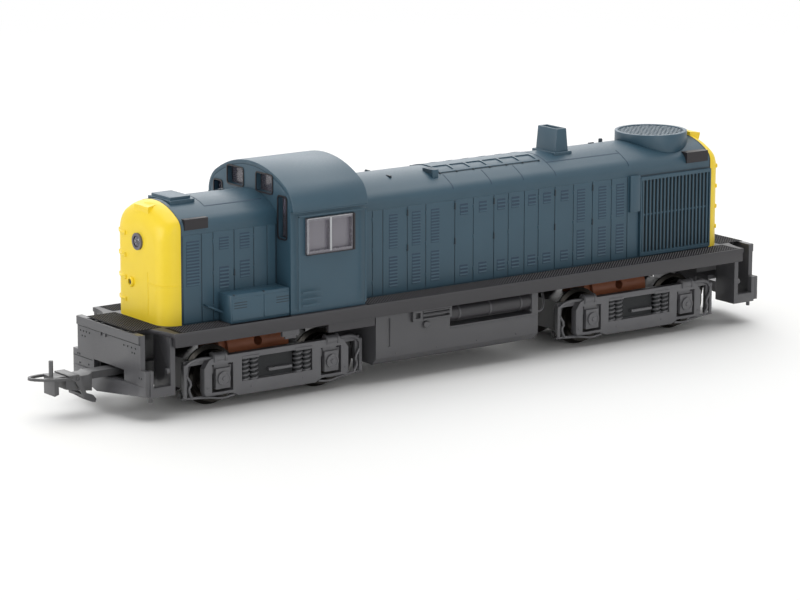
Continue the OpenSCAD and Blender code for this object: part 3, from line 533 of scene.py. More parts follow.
def louvrePlate(xMiddle, width, low, high, face):
    # sheet painted darker behind a set of blades, a little larger all round: painted shade, so that the
    # gaps look deep
    return brick((xMiddle - width / 2 - 0.05, face - 0.1, low - 0.1),
                 (xMiddle + width / 2 + 0.05, face + 0.03, high + 0.05), 0.02, "y")


face = wall + doors["thick"]
putPiece("hoodLouvres", [bothSides(merged([louvreBlades(*s, face) for s in louvres["sets"]]))],
         "locomotive", "satinBlueDoors", sharp=25)
putPiece("hoodLouvreGaps", [bothSides(merged([louvrePlate(*s, face) for s in louvres["sets"]]))],
         "locomotive", "slotBlueLacquer")

latch = {"half": 0.14, "reach": 0.75, "out": 0.26, "bossDrop": 0.5,
         "boss": [(0.28, -0.05), (0.28, 0.12), (0.15, 0.2)]}


def doorLatch(x, z, face):
    # small lever in front of a round boss
    lever = brick((x - latch["half"], face - 0.05, z - latch["reach"]),
                  (x + latch["half"], face + latch["out"], z + latch["reach"]), 0.06, "y")
    return merged([lever, turned(latch["boss"], (x, face, z - latch["bossDrop"]), "y", 12)])


latches = [doorLatch(x, z, face) for x in doors["longLatches"] for z in doors["longLatchZ"]]
latches += [doorLatch(x, doors["shortLatchZ"], face) for x in doors["shortLatches"]]
hinge = prism(circle(0, 0, 0.17, 8), -0.4, 0.4, "z", 0.05)
hinges = [copies(hinge, [(x, face + 0.02, z) for z in doors["hingeZ"]]) for x in doors["hinges"]]
# the latches are painted near black as shade; the hinges keep the doors' blue
putPiece("doorLatches", [bothSides(merged(latches))], "locomotive", "paintedShadeBlueLacquer")
putPiece("doorHinges", [bothSides(merged(hinges))], "locomotive", "satinBlueDoors")
print("stage 4: hood doors")

# roof seams: across is (x, y where it starts), along is (y, x from, x to), nose is (x, half length)
roofSeams = {"across": [(1.4, 6.2), (-9.7, 6.2), (-19.1, 6.2), (-28.8, 0.0), (-51.0, 5.4)],
             "eave": 10.4, "along": [(6.6, -51.0, -28.8), (6.6, 52.2, 67.4)], "nose": (67.4, 6.6)}
noseX, noseHalf = roofSeams["nose"]
seams = [roofBead(hoodForm, x, y, roofSeams["eave"]) for x, y in roofSeams["across"]]
seams += [roofBead(hoodForm, x, -roofSeams["eave"], -y) for x, y in roofSeams["across"]]
seams += [roofRun(hoodForm, y * s, a, b) for y, a, b in roofSeams["along"] for s in (1, -1)]
seams += [roofBead(hoodForm, noseX, -noseHalf, noseHalf)]
# the seams are thin strips painted dark as the shade in the roof's panel joints
putPiece("roofSeams", seams, "locomotive", "slotBlueLacquer")


def onRoof(x, y, shape):
    # a shape that stands on z = 0, lifted to the height of the hood's roof at (x, y)
    return copies(shape, [(x, y, float(crownSection(np.array(y), **hoodForm)))])


roofEyes = {"lift": [(15.4, 4.2), (15.4, -4.2)], "grab": [(57.1, -2.4), (-49.8, -2.6)],
            "stub": (-54.2, -4.4)}
liftEye = brick((-0.26, -0.85, -0.3), (0.26, 0.85, 0.3), 0.08)
grabEye = brick((-0.8, -0.3, -0.25), (0.8, 0.3, 0.22), 0.08)
stub = turned([(0.5, -0.3), (0.5, 0.75), (0.4, 0.9)], (0, 0, 0), "z", 16)
eyes = [onRoof(x, y, liftEye) for x, y in roofEyes["lift"]]
eyes += [onRoof(x, y, grabEye) for x, y in roofEyes["grab"]] + [onRoof(*roofEyes["stub"], stub)]
# lifting eyes, grab eyes and the stub, painted near black as shade
putPiece("roofEyes", eyes, "locomotive", "paintedShadeBlueLacquer")

hatchFrame = {"front": 1.9, "rear": -27.2, "y": 5.75, "pitch": 4.85, "bolts": 7, "edge": 0.16}
boltHead = rivet(0.3, 0.36)
frameBolts = [onRoof(hatchFrame["front"] - hatchFrame["pitch"] * i, hatchFrame["y"] * s, boltHead)
              for i in range(hatchFrame["bolts"]) for s in (1, -1)]
frameEdges = [roofRun(hoodForm, hatchFrame["y"] * s, hatchFrame["rear"], hatchFrame["front"],
                      hatchFrame["edge"]) for s in (1, -1)]
# bolt heads and the frames' edge lines, painted near black as shade
putPiece("hatchFrameBolts", frameBolts + frameEdges, "locomotive", "paintedShadeBlueLacquer")

# exhaust stack: a flange round its foot, and a mouth painted near black as the shade inside an open
# flue
stack = {"footX": (-38.3, -33.1), "footY": 4.3, "footZ": (45.5, 46.3),
         "flueLow": (-36.5, -2.9, 48.0), "flueHigh": (-34.9, 2.9, 48.3)}
footEdge = [(x, y) for y in (-stack["footY"], stack["footY"]) for x in stack["footX"]]
stackFoot = prism([footEdge[i] for i in (0, 1, 3, 2)], *stack["footZ"], "z", 0.12)
putPiece("stackFoot", [stackFoot], "locomotive", "satinBlueDoors")
putPiece("stackFlue", [brick(stack["flueLow"], stack["flueHigh"], 0.05)], "locomotive",
         "paintedShadeBlueLacquer")

# radiator: dark core and cross bar, each between two distances out of the hood's wall
grille = {"x": (-76.1, -54.0), "low": 20.0, "high": 39.2, "rim": 0.4, "lip": 0.8,
          "core": (0.15, 0.23), "bar": (0.2, 0.42), "barZ": 29.9, "barHalf": 0.18}
grilleRear, grilleFront = grille["x"][0] + grille["rim"], grille["x"][1] - grille["rim"]
core = brick((grilleRear, wall + grille["core"][0], grille["low"] + grille["lip"]),
             (grilleFront, wall + grille["core"][1], grille["high"] - grille["lip"]), 0.02, "y")
crossBar = brick((grilleRear, wall + grille["bar"][0], grille["barZ"] - grille["barHalf"]),
                 (grilleFront, wall + grille["bar"][1], grille["barZ"] + grille["barHalf"]), 0.05, "y")
putPiece("radiatorCore", [bothSides(core)], "locomotive", "deepBlack")
putPiece("radiatorBar", [bothSides(crossBar)], "locomotive", "satinBlueDoors")

# shadow line where each yellow end meets the hood: the hood's own section, slightly larger
endGap = {"nose": (76.05, 76.27), "tail": (-76.45, -76.22), "foot": 19.8, "proud": 0.05}
around = wall * np.cos(np.linspace(0, math.pi, 61))
section = np.stack([around, crownSection(around, **hoodForm)], 1)
section = np.concatenate([[(wall, endGap["foot"])], section, [(-wall, endGap["foot"])]])
section = insetOutline(section, -endGap["proud"])
endGaps = [prism(section, *endGap[k], "x", 0.03) for k in ("nose", "tail")]
putPiece("endGaps", endGaps, "locomotive", "paintedShadeBlueLacquer")

# slots of the roof vent, near black as painted shade: three across its top, three low ones on its front
vent = {"y": (3.4, 6.8), "topX": (3.7, 4.15, 4.6), "topZ": (46.3, 46.52), "topHalf": 0.11,
        "frontX": (4.8, 5.03), "frontZ": (45.7, 46.0, 46.3), "frontHalf": 0.08}
ventSlots = [brick((x - vent["topHalf"], vent["y"][0], vent["topZ"][0]),
                   (x + vent["topHalf"], vent["y"][1], vent["topZ"][1]), 0.03) for x in vent["topX"]]
ventSlots += [brick((vent["frontX"][0], vent["y"][0], z - vent["frontHalf"]),
                    (vent["frontX"][1], vent["y"][1], z + vent["frontHalf"]), 0.03)
              for z in vent["frontZ"]]
putPiece("ventSlots", ventSlots, "locomotive", "paintedShadeBlueLacquer")

# fan under its guard; twist in degrees and chord in mm are given at the root and at the tip
fan = {"x": -66.4, "z": 46.6, "lift": 0.2, "blades": 6, "span": [1.4, 7.4], "twist": [40, 18],
       "chord": [1.6, 3.2], "thick": 0.16, "hub": [(1.6, -0.6), (1.6, 0.4), (1.1, 0.7)],
       "well": [(7.8, -1.6), (7.8, -1.5), (0.5, -1.48)]}


def fanBlade(angle):
    # r runs from root to tip and s across the chord: the point (r, chord s) turned by the twist
    # about r, then by the blade's own angle about z; a rim of quads joins top and underside
    r, s = np.meshgrid(np.linspace(*fan["span"], 8), np.linspace(-0.5, 0.5, 5), indexing="ij")
    twist = np.radians(np.interp(r, fan["span"], fan["twist"]))
    wide = np.interp(r, fan["span"], fan["chord"]) * s
    x, y, z = r, wide * np.cos(twist), wide * np.sin(twist)
    c, d = math.cos(angle), math.sin(angle)
    top = np.stack([x * c - y * d, x * d + y * c, z + fan["thick"] / 2], -1)
    under = top - np.array([0, 0, fan["thick"]])
    edge = np.concatenate([top[0], top[1:-1, -1], top[-1, ::-1], top[-2:0:-1, 0]])
    edgeUnder = np.concatenate([under[0], under[1:-1, -1], under[-1, ::-1], under[-2:0:-1, 0]])
    rim = gridSheet(np.stack([edge, edgeUnder]), closeCols=True)
    a, b = gridSheet(top), gridSheet(under)
    return merged([a, (b[0], [q[:, ::-1] for q in b[1]]), rim])


well = turned(fan["well"], (fan["x"], 0, fan["z"]), "z", 48)
putPiece("fanWell", [well], "locomotive", "deepBlack")
fanShapes = [fanBlade(2 * math.pi * i / fan["blades"]) for i in range(fan["blades"])]
fanShapes.append(turned(fan["hub"], (0, 0, 0), "z", 24))
putPiece("coolingFan", [copies(merged(fanShapes), [(fan["x"], 0, fan["z"] + fan["lift"])])],
         "locomotive", "blackAcetal")
print("stage 5: roof, radiator and fan")

# cab sides: beads are (x from, x to, z from, z to), vents are three low ribs behind the door
cabTrim = {"side": 17.2, "front": 50.9, "rear": 30.5,
           "eave": [(-0.1, 42.75), (0.05, 42.8), (0.06, 42.95), (-0.1, 43.05)],
           "beads": [(31.0, 31.35, 20.6, 42.0), (49.1, 49.45, 20.6, 42.0), (31.0, 49.45, 41.75, 42.05)],
           "ventX": (43.4, 48.4), "ventZ": (21.4, 22.9, 24.4), "ventHigh": 0.3}
cabSide = cabTrim["side"]
eave = [(cabSide + out, z) for out, z in cabTrim["eave"]]
trim = [bothSides(prism(eave, cabTrim["rear"], cabTrim["front"], "x", 0.03))]
trim += [bothSides(brick((x0, cabSide - 0.1, z0), (x1, cabSide + 0.1, z1), 0.04, "y"))
         for x0, x1, z0, z1 in cabTrim["beads"]]
trim += [bothSides(brick((cabTrim["ventX"][0], cabSide - 0.1, z),
                         (cabTrim["ventX"][1], cabSide + 0.07, z + cabTrim["ventHigh"]), 0.03, "y"))
         for z in cabTrim["ventZ"]]
putPiece("cabSideBeads", trim, "locomotive", "satinBlueDoors")

# side window: silver beads on the frame's face, and near-black strips behind its lower and rear edges
# as painted shade in the opening's reveal
sideWindow = {"x": (34.1, 46.9), "z": (33.0, 41.2), "face": 16.9, "revealShadeFrom": 16.3}
(x0, x1), (z0, z1) = sideWindow["x"], sideWindow["z"]
middle, back = (x0 + x1) / 2, sideWindow["face"] - 0.1
proud, postProud = sideWindow["face"] + 0.07, sideWindow["face"] + 0.12
beads = [brick((x0 + 0.05, back, z1 - 0.24), (x1 - 0.05, proud, z1 - 0.05), 0.04, "x"),
         brick((x1 - 0.24, back, z0 + 0.05), (x1 - 0.05, proud, z1 - 0.1), 0.04),
         brick((middle - 0.22, back, z0 + 0.3), (middle + 0.22, postProud, z1 - 0.2), 0.06)]
putPiece("windowBeads", [bothSides(merged(beads))], "locomotive", "silverPaint")
revealShadeFrom = sideWindow["revealShadeFrom"]
revealShades = [brick((x0 - 0.1, revealShadeFrom, z0 - 0.1), (x0 + 0.42, 17.22, z1 + 0.05), 0.03),
         brick((x0 - 0.1, revealShadeFrom, z0 - 0.12), (x1 + 0.1, 17.24, z0 + 0.03), 0.03, "x")]
putPiece("windowRevealShade", [bothSides(merged(revealShades))], "locomotive", "glossBlackPanel")

# end windows: (y from, y to, z from, z to) of the panes on one side; their corners and gaskets
endPanes = {"sizes": [(2.7, 9.0, 46.1, 50.1), (11.4, 14.6, 36.6, 46.0)], "corner": 0.5,
            "depth": 0.22, "width": 0.34}


def paneGasket(y0, y1, z0, z1, x):
    # black rubber frame round a pane: an outer and an inner rounded rectangle joined by quads
    corner, depth, width = (endPanes[k] for k in ("corner", "depth", "width"))

    def ring(grow, t):
        # four quarter circles about the corner centres, each of 5 points
        r = corner + grow
        centres = [(y1 - corner, z1 - corner, 0), (y0 + corner, z1 - corner, 90),
                   (y0 + corner, z0 + corner, 180), (y1 - corner, z0 + corner, 270)]
        turn = np.radians(np.linspace(0, 90, 5))
        arcs = [(cy + r * np.cos(math.radians(a) + turn), cz + r * np.sin(math.radians(a) + turn))
                for cy, cz, a in centres]
        return placed(np.concatenate([np.stack(arc, 1) for arc in arcs]), t, "x")
    rings = np.stack([ring(0, x), ring(0, x + depth), ring(width, x + depth), ring(width, x)])
    return outward(gridSheet(rings, closeRows=True, closeCols=True))


gaskets = []
for y0, y1, z0, z1 in endPanes["sizes"]:
    for s in (1, -1):
        a, b = min(y0 * s, y1 * s), max(y0 * s, y1 * s)
        gaskets += [paneGasket(a, b, z0, z1, cabTrim["front"] - 0.04),
                    paneGasket(a, b, z0, z1, cabTrim["rear"] - 0.18)]
putPiece("paneGaskets", gaskets, "locomotive", "glossBlackPanel")

# battery boxes: two doors with three slots each, tabs on the lid's edge and a sloping ledge in front
battery = {"x": (50.9, 66.65), "split": 58.0, "doorY": (15.7, 15.92), "doorZ": (20.2, 25.2),
           "slotX": (64.1, 52.9), "slotZ": (22.9, 23.5, 24.1), "slotHalf": 1.7, "slotHigh": 0.2,
           "tabX": (65.8, 57.9), "ledge": [(66.5, 21.4), (70.6, 23.4), (70.7, 23.8), (66.5, 22.0)],
           "ledgeY": (10.6, 12.6)}
(yIn, yOut), (zLow, zHigh) = battery["doorY"], battery["doorZ"]
leaves = [brick((battery["x"][0] + 0.25, yIn, zLow), (battery["split"] - 0.16, yOut, zHigh), 0.05, "y"),
          brick((battery["split"] + 0.16, yIn, zLow), (battery["x"][1] - 0.35, yOut, zHigh), 0.05, "y")]
putPiece("batteryDoors", [bothSides(merged(leaves))], "locomotive", "satinBlueDoors")
# the slots and the lid's tabs are painted near black as shade
slots = [brick((x - battery["slotHalf"], 15.85, z),
               (x + battery["slotHalf"], 15.95, z + battery["slotHigh"]), 0.03, "y")
         for x in battery["slotX"] for z in battery["slotZ"]]
tabs = [brick((x - 0.2, 15.3, 25.8), (x + 0.2, 15.95, 26.12), 0.05) for x in battery["tabX"]]
putPiece("batterySlots", [bothSides(merged(slots + tabs))], "locomotive",
         "paintedShadeBlueLacquer")
ledge = prism(battery["ledge"], *battery["ledgeY"], "y", 0.08)
putPiece("batteryLedges", [bothSides(ledge)], "locomotive", "satinBlueDoors")
print("stage 6: cab and battery boxes")

# nose and tail: knob is its (y, z), and the corner radii are those of the hood's ends in plan
endTrim = {"faceX": 80.6, "lampZ": 37.3, "hingeZ": (38.4, 33.4, 28.4, 23.4), "hingeY": 5.4,
           "seamY": 3.8, "seamZ": 28.5, "knob": (-3.0, 27.7), "cornerX": 4.4, "cornerY": 4.2,
           "tailLift": 0.9,
           "knobProfile": [(1.15, -0.1), (1.15, 0.3), (0.95, 0.55), (0.7, 0.55), (0.62, 0.15)],
           "lens": [(1.28, 0.0), (1.25, 0.12), (0.9, 0.36), (0.45, 0.46), (0.05, 0.5)]}
knobAt = (endTrim["faceX"], *endTrim["knob"])
lampAt = (endTrim["faceX"], 0, endTrim["lampZ"])


def cornerPath(side, first, last, toY, z, count=9):
    # the rounded upright corner in plan: x = face - cornerX (1 - sin t),
    # y = wall - cornerY (1 - cos t), and a last point on the face at toY
    t = np.radians(np.linspace(first, last, count))
    x = endTrim["faceX"] - endTrim["cornerX"] * (1 - np.sin(t))
    y = side * (wall - endTrim["cornerY"] * (1 - np.cos(t)))
    path = np.stack([x, y, np.full(count, z)], 1)
    return np.concatenate([path, [(endTrim["faceX"], side * toY, z)]])


def endDetails(lift):
    # hinge straps with two upright barrels each, the knob, and the seam round the hatch
    x, hingeY = endTrim["faceX"], endTrim["hingeY"]
    shapes = []
    for z in [level + lift for level in endTrim["hingeZ"]]:
        shapes.append(rod(cornerPath(-1, 34, 84, hingeY, z), 0.26))
        barrel = cornerPath(-1, 44, 45, hingeY, z)[0]
        for bx, by, radius in ((barrel[0], barrel[1], 0.42), (x + 0.02, -hingeY, 0.36)):
            shapes.append(prism(circle(bx, by, radius, 14), z - 0.5, z + 0.5, "z", 0.14))
    shapes.append(turned(endTrim["knobProfile"], knobAt, "x", 24))
    seamY = endTrim["seamY"]
    shapes.append(brick((x - 0.05, seamY - 0.1, 21.0), (x + 0.08, seamY + 0.1, 31.0), 0.03, "x"))
    shapes.append(rod(cornerPath(1, 10, 84, seamY, endTrim["seamZ"]), 0.13))
    return merged(shapes)


def halfTurn(shape):
    # half a turn about z is the mirror image across x = 0, then across y = 0
    return mirrored(mirrored(shape, 0), 1)


putPiece("noseDetails", [endDetails(0.0)], "locomotive", "satinYellowLacquer")
putPiece("tailDetails", [halfTurn(endDetails(endTrim["tailLift"]))], "locomotive",
         "satinYellowLacquer")
knobEye = turned([(0.62, 0.0), (0.6, 0.2), (0.3, 0.24)], knobAt, "x", 20)
bulb = turned([(0.5, 0.0), (0.5, 0.3), (0.3, 0.5)], lampAt, "x", 20)
putPiece("noseEyes", [knobEye, bulb, mirrored(bulb, 0), halfTurn(knobEye)], "locomotive",
         "glossBlackPanel")
lens = turned(endTrim["lens"], (endTrim["faceX"] + 0.1, 0, endTrim["lampZ"]), "x", 32)
putPiece("frontLampLens", [lens], "locomotive", "lampLens")
putPiece("rearLampLens", [mirrored(lens, 0)], "locomotive", "lampLens")
reflector = turned([(1.3, 0.0), (1.3, 0.06), (0.5, 0.02)], lampAt, "x", 32)
putPiece("lampReflectors", [reflector, mirrored(reflector, 0)], "locomotive",
         "silverPaint")
print("stage 7: nose and tail")

# walkway tread: runs and grounds are (x from, x to, y from, y to); real studs are about 0.3 mm
# apart, too fine to show, so they are drawn at the wider pitch
tread = {"pitch": 0.8, "size": 0.42, "height": 0.1, "top": 19.6,
         "sideRuns": [(-80.4, 30.2, 11.0, 16.9), (67.0, 80.4, 11.0, 16.9)],
         "endRuns": [(80.9, 88.2, -9.6, 9.6), (-88.2, -80.9, -9.6, 9.6)],
         "sideGrounds": [(-80.8, 30.3, 10.75, 16.9), (67.0, 80.8, 10.75, 16.9),
                         (51.0, 67.0, 15.9, 16.9)],
         "endGrounds": [(80.8, 88.3, -9.8, 9.8), (-88.3, -80.8, -9.8, 9.8)]}


def treadStuds(xFrom, xTo, yFrom, yTo):
    # low four-sided studs on a grid whose every second row is moved by half a pitch
    p = tread["pitch"]
    xs, ys = np.arange(xFrom + p / 2, xTo, p), np.arange(yFrom + p / 2, yTo, p / 2)
    gx, gy = np.meshgrid(xs, ys, indexing="ij")
    gx = gx + (np.arange(len(ys)) % 2)[None] * p / 2
    spots = np.stack([gx.ravel(), gy.ravel(), np.full(gx.size, tread["top"])], 1)
    spots = spots[spots[:, 0] < xTo - 0.25]
    s, h = tread["size"] / 2, tread["height"]
    points = np.array([(-s, 0, -0.03), (0, -s * 0.55, -0.03), (s, 0, -0.03), (0, s * 0.55, -0.03),
                       (-s * 0.5, 0, h), (s * 0.5, 0, h)])
    faces = [np.array([[0, 1, 4], [2, 3, 5], [3, 0, 4], [1, 2, 5], [1, 5, 4], [3, 4, 5]]),
             np.array([[3, 2, 1, 0]])]
    return copies((points, faces), spots)


def treadSheet(xFrom, xTo, yFrom, yTo):
    # thin sheet that the studs stand on, nearly black as painted shade
    return brick((xFrom, yFrom, tread["top"] - 0.04), (xTo, yTo, tread["top"] + 0.02), 0.02)


runs = bothSides(merged([treadStuds(*r) for r in tread["sideRuns"]]))
ends = merged([treadStuds(*r) for r in tread["endRuns"]])
putPiece("walkwayTread", [runs, ends], "locomotive", "studTopHighlight", sharp=10)
sheets = [bothSides(treadSheet(*r)) for r in tread["sideGrounds"]]
sheets += [treadSheet(*r) for r in tread["endGrounds"]]
putPiece("treadGround", sheets, "locomotive", "walkwayGroundShade")
print("stage 8: walkway tread")

# pilots: rivetRows are (z, each y), the strap has a lip above and two lugs below
pilot = {"face": 88.6, "half": 13.1,
         "rivetRows": [(16.1, (-11.9, -10.6, -9.4, -8.1)), (15.0, (-11.2, -10.0)),
                       (16.1, (6.4, 8.0, 9.6, 11.2)), (15.0, (9.8, 10.8))],
         "rivets": [(-13.2, 10.6), (-12.4, 10.6), (-14.4, 7.2), (-12.4, 8.6), (-8.6, 8.8),
                    (13.6, 9.8), (12.6, 9.8)],
         "notchY": (-5.1, -2.7, 5.3, 8.2), "lugY": [(-3.3, -2.8), (-1.4, -0.9)]}
stud = rivet(0.24, 0.12)
back, half = pilot["face"] - 0.05, pilot["half"]
pilotSpots = [(y, z) for z, ys in pilot["rivetRows"] for y in ys] + pilot["rivets"]
# rivet heads, a line under the strap's lip, a line lower down and the notches on top, all near black as
# painted shade
pilotShadeMarks = [copies(facing(stud, "x"), [(pilot["face"], y, z) for y, z in pilotSpots]),
             brick((back, -half, 17.1), (pilot["face"] + 0.1, half, 17.36), 0.03, "x"),
             brick((back, -15.0, 10.0), (pilot["face"] + 0.06, -7.0, 10.15), 0.02, "x")]
pilotShadeMarks += [brick((88.2, y - 0.45, 19.2), (88.7, y + 0.45, 19.42), 0.04) for y in pilot["notchY"]]
studs = merged(pilotShadeMarks)
strap = merged([brick((back, -half, 17.35), (pilot["face"] + 0.4, half, 19.3), 0.1, "x")]
               + [brick((back, y0, 16.5), (pilot["face"] + 0.3, y1, 17.45), 0.08, "x")
                  for y0, y1 in pilot["lugY"]])
putPiece("pilotBeams", [strap, mirrored(strap, 0)], "locomotive",
         "mouldedBlackStyrene")
putPiece("pilotRivets", [studs, mirrored(studs, 0)], "locomotive", "deepBlack")

# tank: bolts, seam, filler and steps on its side, and the bracket under the sill by the front truck
tank = {"side": 15.5, "boltX": (21.4, 9.8, -1.8, -13.3), "boltZ": 6.9, "seamX": (-19.8, 6.0),
        "seamZ": (10.6, 10.85), "slatX": (6.5, 14.4), "slatZ": (13.9, 14.75, 15.6), "slatHigh": 0.34,
        "filler": [(0.9, -0.2), (0.9, 0.5), (0.7, 0.7)], "fillerAt": (13.0, 15.5, 12.6)}
sillBracket = merged([brick((49.2, 16.2, 15.2), (53.8, 17.1, 16.5), 0.08, "y"),
                      brick((50.0, 16.4, 14.6), (53.0, 17.0, 15.3), 0.08, "y")])
tankBolts = copies(facing(stud, "y"), [(x, tank["side"], tank["boltZ"]) for x in tank["boltX"]])
filler = turned(tank["filler"], tank["fillerAt"], "y", 20)
slats = [brick((tank["slatX"][0], 16.1, z), (tank["slatX"][1], 16.45, z + tank["slatHigh"]), 0.06, "x")
         for z in tank["slatZ"]]
(x0, x1), (z0, z1) = tank["seamX"], tank["seamZ"]
seam = prism([(x0, z0), (x1, z0), (x1, z1), (x0, z1)], tank["side"] - 0.05, 15.6, "y", 0.04)
putPiece("tankBolts", [bothSides(merged([sillBracket, tankBolts, filler] + slats)), bothSides(seam)],
         "locomotive", "mouldedBlackStyrene")

reservoir = {"bandX": (-15.0, -6.0, 3.0), "y": 13.4, "z": 13.9, "radius": 2.0, "bandHalf": 0.25,
             "pipe": [(-17.5, 15.2, 12.2), (-18.5, 15.0, 11.4), (-21.5, 15.0, 11.4),
                      (-23.0, 13.5, 13.5), (-23.5, 12.0, 16.0)], "pipeRadius": 0.28}
band = [(reservoir["radius"], -reservoir["bandHalf"]), (reservoir["radius"], reservoir["bandHalf"])]
bands = [turned(band, (x, reservoir["y"], reservoir["z"]), "x", 32) for x in reservoir["bandX"]]
airPipe = rod(reservoir["pipe"], reservoir["pipeRadius"], (0, 1, 0), smooth=2)
putPiece("reservoirBands", [bothSides(merged(bands + [airPipe]))], "locomotive",
         "mouldedBlackStyrene")
print("stage 9: pilots and tank")

# trucks: shapes are made about the truck's middle and moved to both pivots; x is the pivot's,
# half the half wheelbase, face the outside of the side frame; springs stand in pairs
truckSize = {"x": 52.6, "half": 14.65, "face": 13.2, "axleZ": 6.8}
spring = {"x": 8.3, "step": 2.3, "back": 0.9, "z": (5.6, 10.7), "radius": 1.02, "wire": 0.23,
          "turns": 5, "core": 0.9}
axleCap = {"rim": [(1.62, 0.62), (1.62, 0.8), (1.25, 0.86), (1.2, 0.74), (0.6, 0.74), (0.5, 0.95),
                   (0.3, 1.0)], "lift": 0.2, "boltCircle": 1.42, "boltOut": 0.8, "bolts": 6}
brake = {"shoe": (6.9, 8.0), "shoeY": (8.2, 10.0), "reach": 34}  # radii, depth, degrees each way
rigging = {  # paths in mm; x is for the side away from the truck's middle
    "cylinder": [(0.95, -1.9), (1.3, -1.7), (1.3, -1.2), (1.12, -1.1), (1.12, 1.2), (1.3, 1.3),
                 (1.3, 1.7), (0.95, 1.9)], "cylinderAt": (15.2, 12.3, 11.7),
    "arm": [(16.8, 12.4, 11.6), (19.6, 12.3, 11.9), (22.4, 11.9, 11.4), (23.6, 11.7, 10.2)],
    "strapX": 23.7,
    "link": [(23.4, 11.9, 8.4), (22.1, 12.0, 6.4), (22.9, 11.9, 5.2), (21.9, 11.8, 3.1)],
    "pullRod": [(11.4, 12.8, 2.7), (14.6, 12.7, 2.2), (17.6, 12.6, 2.9), (24.0, 11.2, 3.0)],
    "tieRod": [(14.0, 12.2, 3.1), (24.3, 11.6, 3.1)],
}
frameBoltsAt = [(-7.0, 4.1), (7.0, 4.1), (-18.6, 5.0), (18.6, 5.0)]  # x, z


def springPlaces():
    # x of the four springs: right pair, then left pair, each from its outer spring inwards
    return [s * (spring["x"] - spring["step"] * j) for s in (1, -1) for j in (0, 1)]


def coilSpring(x):
    # helix about an upright line: (x + r cos a, y + r sin a), where a and the height grow together
    t = np.linspace(0, 1, spring["turns"] * 12)
    a = 2 * math.pi * spring["turns"] * t
    out = np.stack([np.cos(a), np.sin(a), np.zeros_like(a)], 1)
    low, high = spring["z"]
    start = np.array([x, truckSize["face"] - spring["back"], low])
    path = start + spring["radius"] * out + np.stack([0 * t, 0 * t, (high - low) * t], 1)
    return swept(path, out, spring["wire"], 6)


def axleCover(x):
    # round cover with a flat rim and a centre boss, turned about y, and a circle of bolt heads
    y, z = truckSize["face"], truckSize["axleZ"] + axleCap["lift"]
    angles = np.arange(axleCap["bolts"]) * math.pi / 3
    bolts = copies(facing(rivet(0.16, 0.12, 6), "y"),
                   [(x + axleCap["boltCircle"] * math.cos(a), y + axleCap["boltOut"],
                     z + axleCap["boltCircle"] * math.sin(a)) for a in angles])
    return merged([turned(axleCap["rim"], (x, y, z), "y", 28), bolts])


def brakeGear(x, side):
    # shoe between two arcs about the axle, its hanger strap and the lever below
    axleZ = truckSize["axleZ"]
    r = np.radians(np.linspace(-brake["reach"], brake["reach"], 10))
    inner, outer = (np.stack([x + side * radius * np.cos(r), axleZ + radius * np.sin(r)], 1)
                    for radius in brake["shoe"])
    shoe = prism(np.concatenate([inner, outer[::-1]]), *brake["shoeY"], "y", 0.12)
    hanger = rod([(x + side * 8.0, 9.4, axleZ + 1), (x + side * 8.4, 9.6, 10.4),
                  (x + side * 8.4, 10.6, 11.0)], 0.35, (0, 1, 0), smooth=1)
    lever = brick((x + side * 9.0 - 0.3, 9.4, 2.9), (x + side * 9.0 + 0.3, 10.4, 4.3), 0.08)
    return merged([shoe, hanger, lever])


def outwards(path, s):
    # a path for one end of the truck, its x turned round where s is -1
    return [(s * x, y, z) for x, y, z in path]


def truckSide():
    # the left side of one truck: grey mouldings, black brakes, and the painted shade behind the springs
    face, half = truckSize["face"], truckSize["half"]
    grey = [axleCover(s * half) for s in (1, -1)] + [coilSpring(x) for x in springPlaces()]
    # plank in the spring window, seats above the springs and bolt heads along the beam
    grey.append(brick((-4.3, face - 1.2, 6.8), (2.0, face - 0.3, 7.5), 0.1, "y"))
    grey += [brick((s * 7.15 - 2.3, face - 0.9, 10.5), (s * 7.15 + 2.3, face + 0.12, 11.25), 0.12, "y")
             for s in (1, -1)]
    grey.append(copies(facing(stud, "y"), [(x, face + 0.02, z) for x, z in frameBoltsAt]))
    # brake cylinder on top of the frame over each axle, then the arm, strap and rods of its rigging
    strapX = rigging["strapX"]
    for s in (1, -1):
        grey.append(turned(rigging["cylinder"], outwards([rigging["cylinderAt"]], s)[0], "x", 24))
        grey.append(rod(outwards(rigging["arm"], s), 0.42, (0, 1, 0), smooth=2))
        grey.append(brick((s * strapX - 0.4, 11.5, 3.2), (s * strapX + 0.4, 12.1, 10.9), 0.12))
        grey.append(rod(outwards(rigging["link"], s), 0.33, (0, 1, 0), smooth=1))
        grey.append(rod(outwards(rigging["pullRod"], s), 0.26, (0, 0, 1), smooth=2))
        grey.append(rod(outwards(rigging["tieRod"], s), 0.22))
    dark = [brakeGear(s * half, s) for s in (1, -1)] + [brakeGear(s * half, -s) for s in (1, -1)]
    # painted shade: near-black back of the spring window and cores of the springs
    deep = [brick((-4.75, face - 1.25, 5.6), (4.75, face - 1.13, 10.7), 0.03, "y")]
    deep += [prism(circle(x, face - spring["back"], spring["core"], 20), 5.58, 10.72, "z", 0.05)
             for x in springPlaces()]
    return merged(grey), merged(dark), merged(deep)


truckGrey, truckDark, truckDeep = truckSide()
for body, sign in (("front_truck", 1), ("rear_truck", -1)):
    for part, shape, slotName, finish in (
            ("_sideGear", truckGrey, "truck_grey", "castLookStyrene"),
            ("_brakes", truckDark, "running_gear_black", "blackAcetal"),
            ("_springCores", truckDeep, "running_gear_black", "deepBlack")):
        there = copies(shape, [(sign * truckSize["x"], 0, 0)])
        putPiece(body + part, [bothSides(there)], body, finish)
print("stage 10: trucks")

# camera: place and clip in metres, angles in degrees, focal length and sensor width in mm
view = {"place": (0.492325, 0.663216, 0.192072), "azimuth": 143.92, "elevation": 12.171,
        "roll": 0.131, "lens": 161.85, "sensor": 36.0, "clip": (0.05, 20.0)}


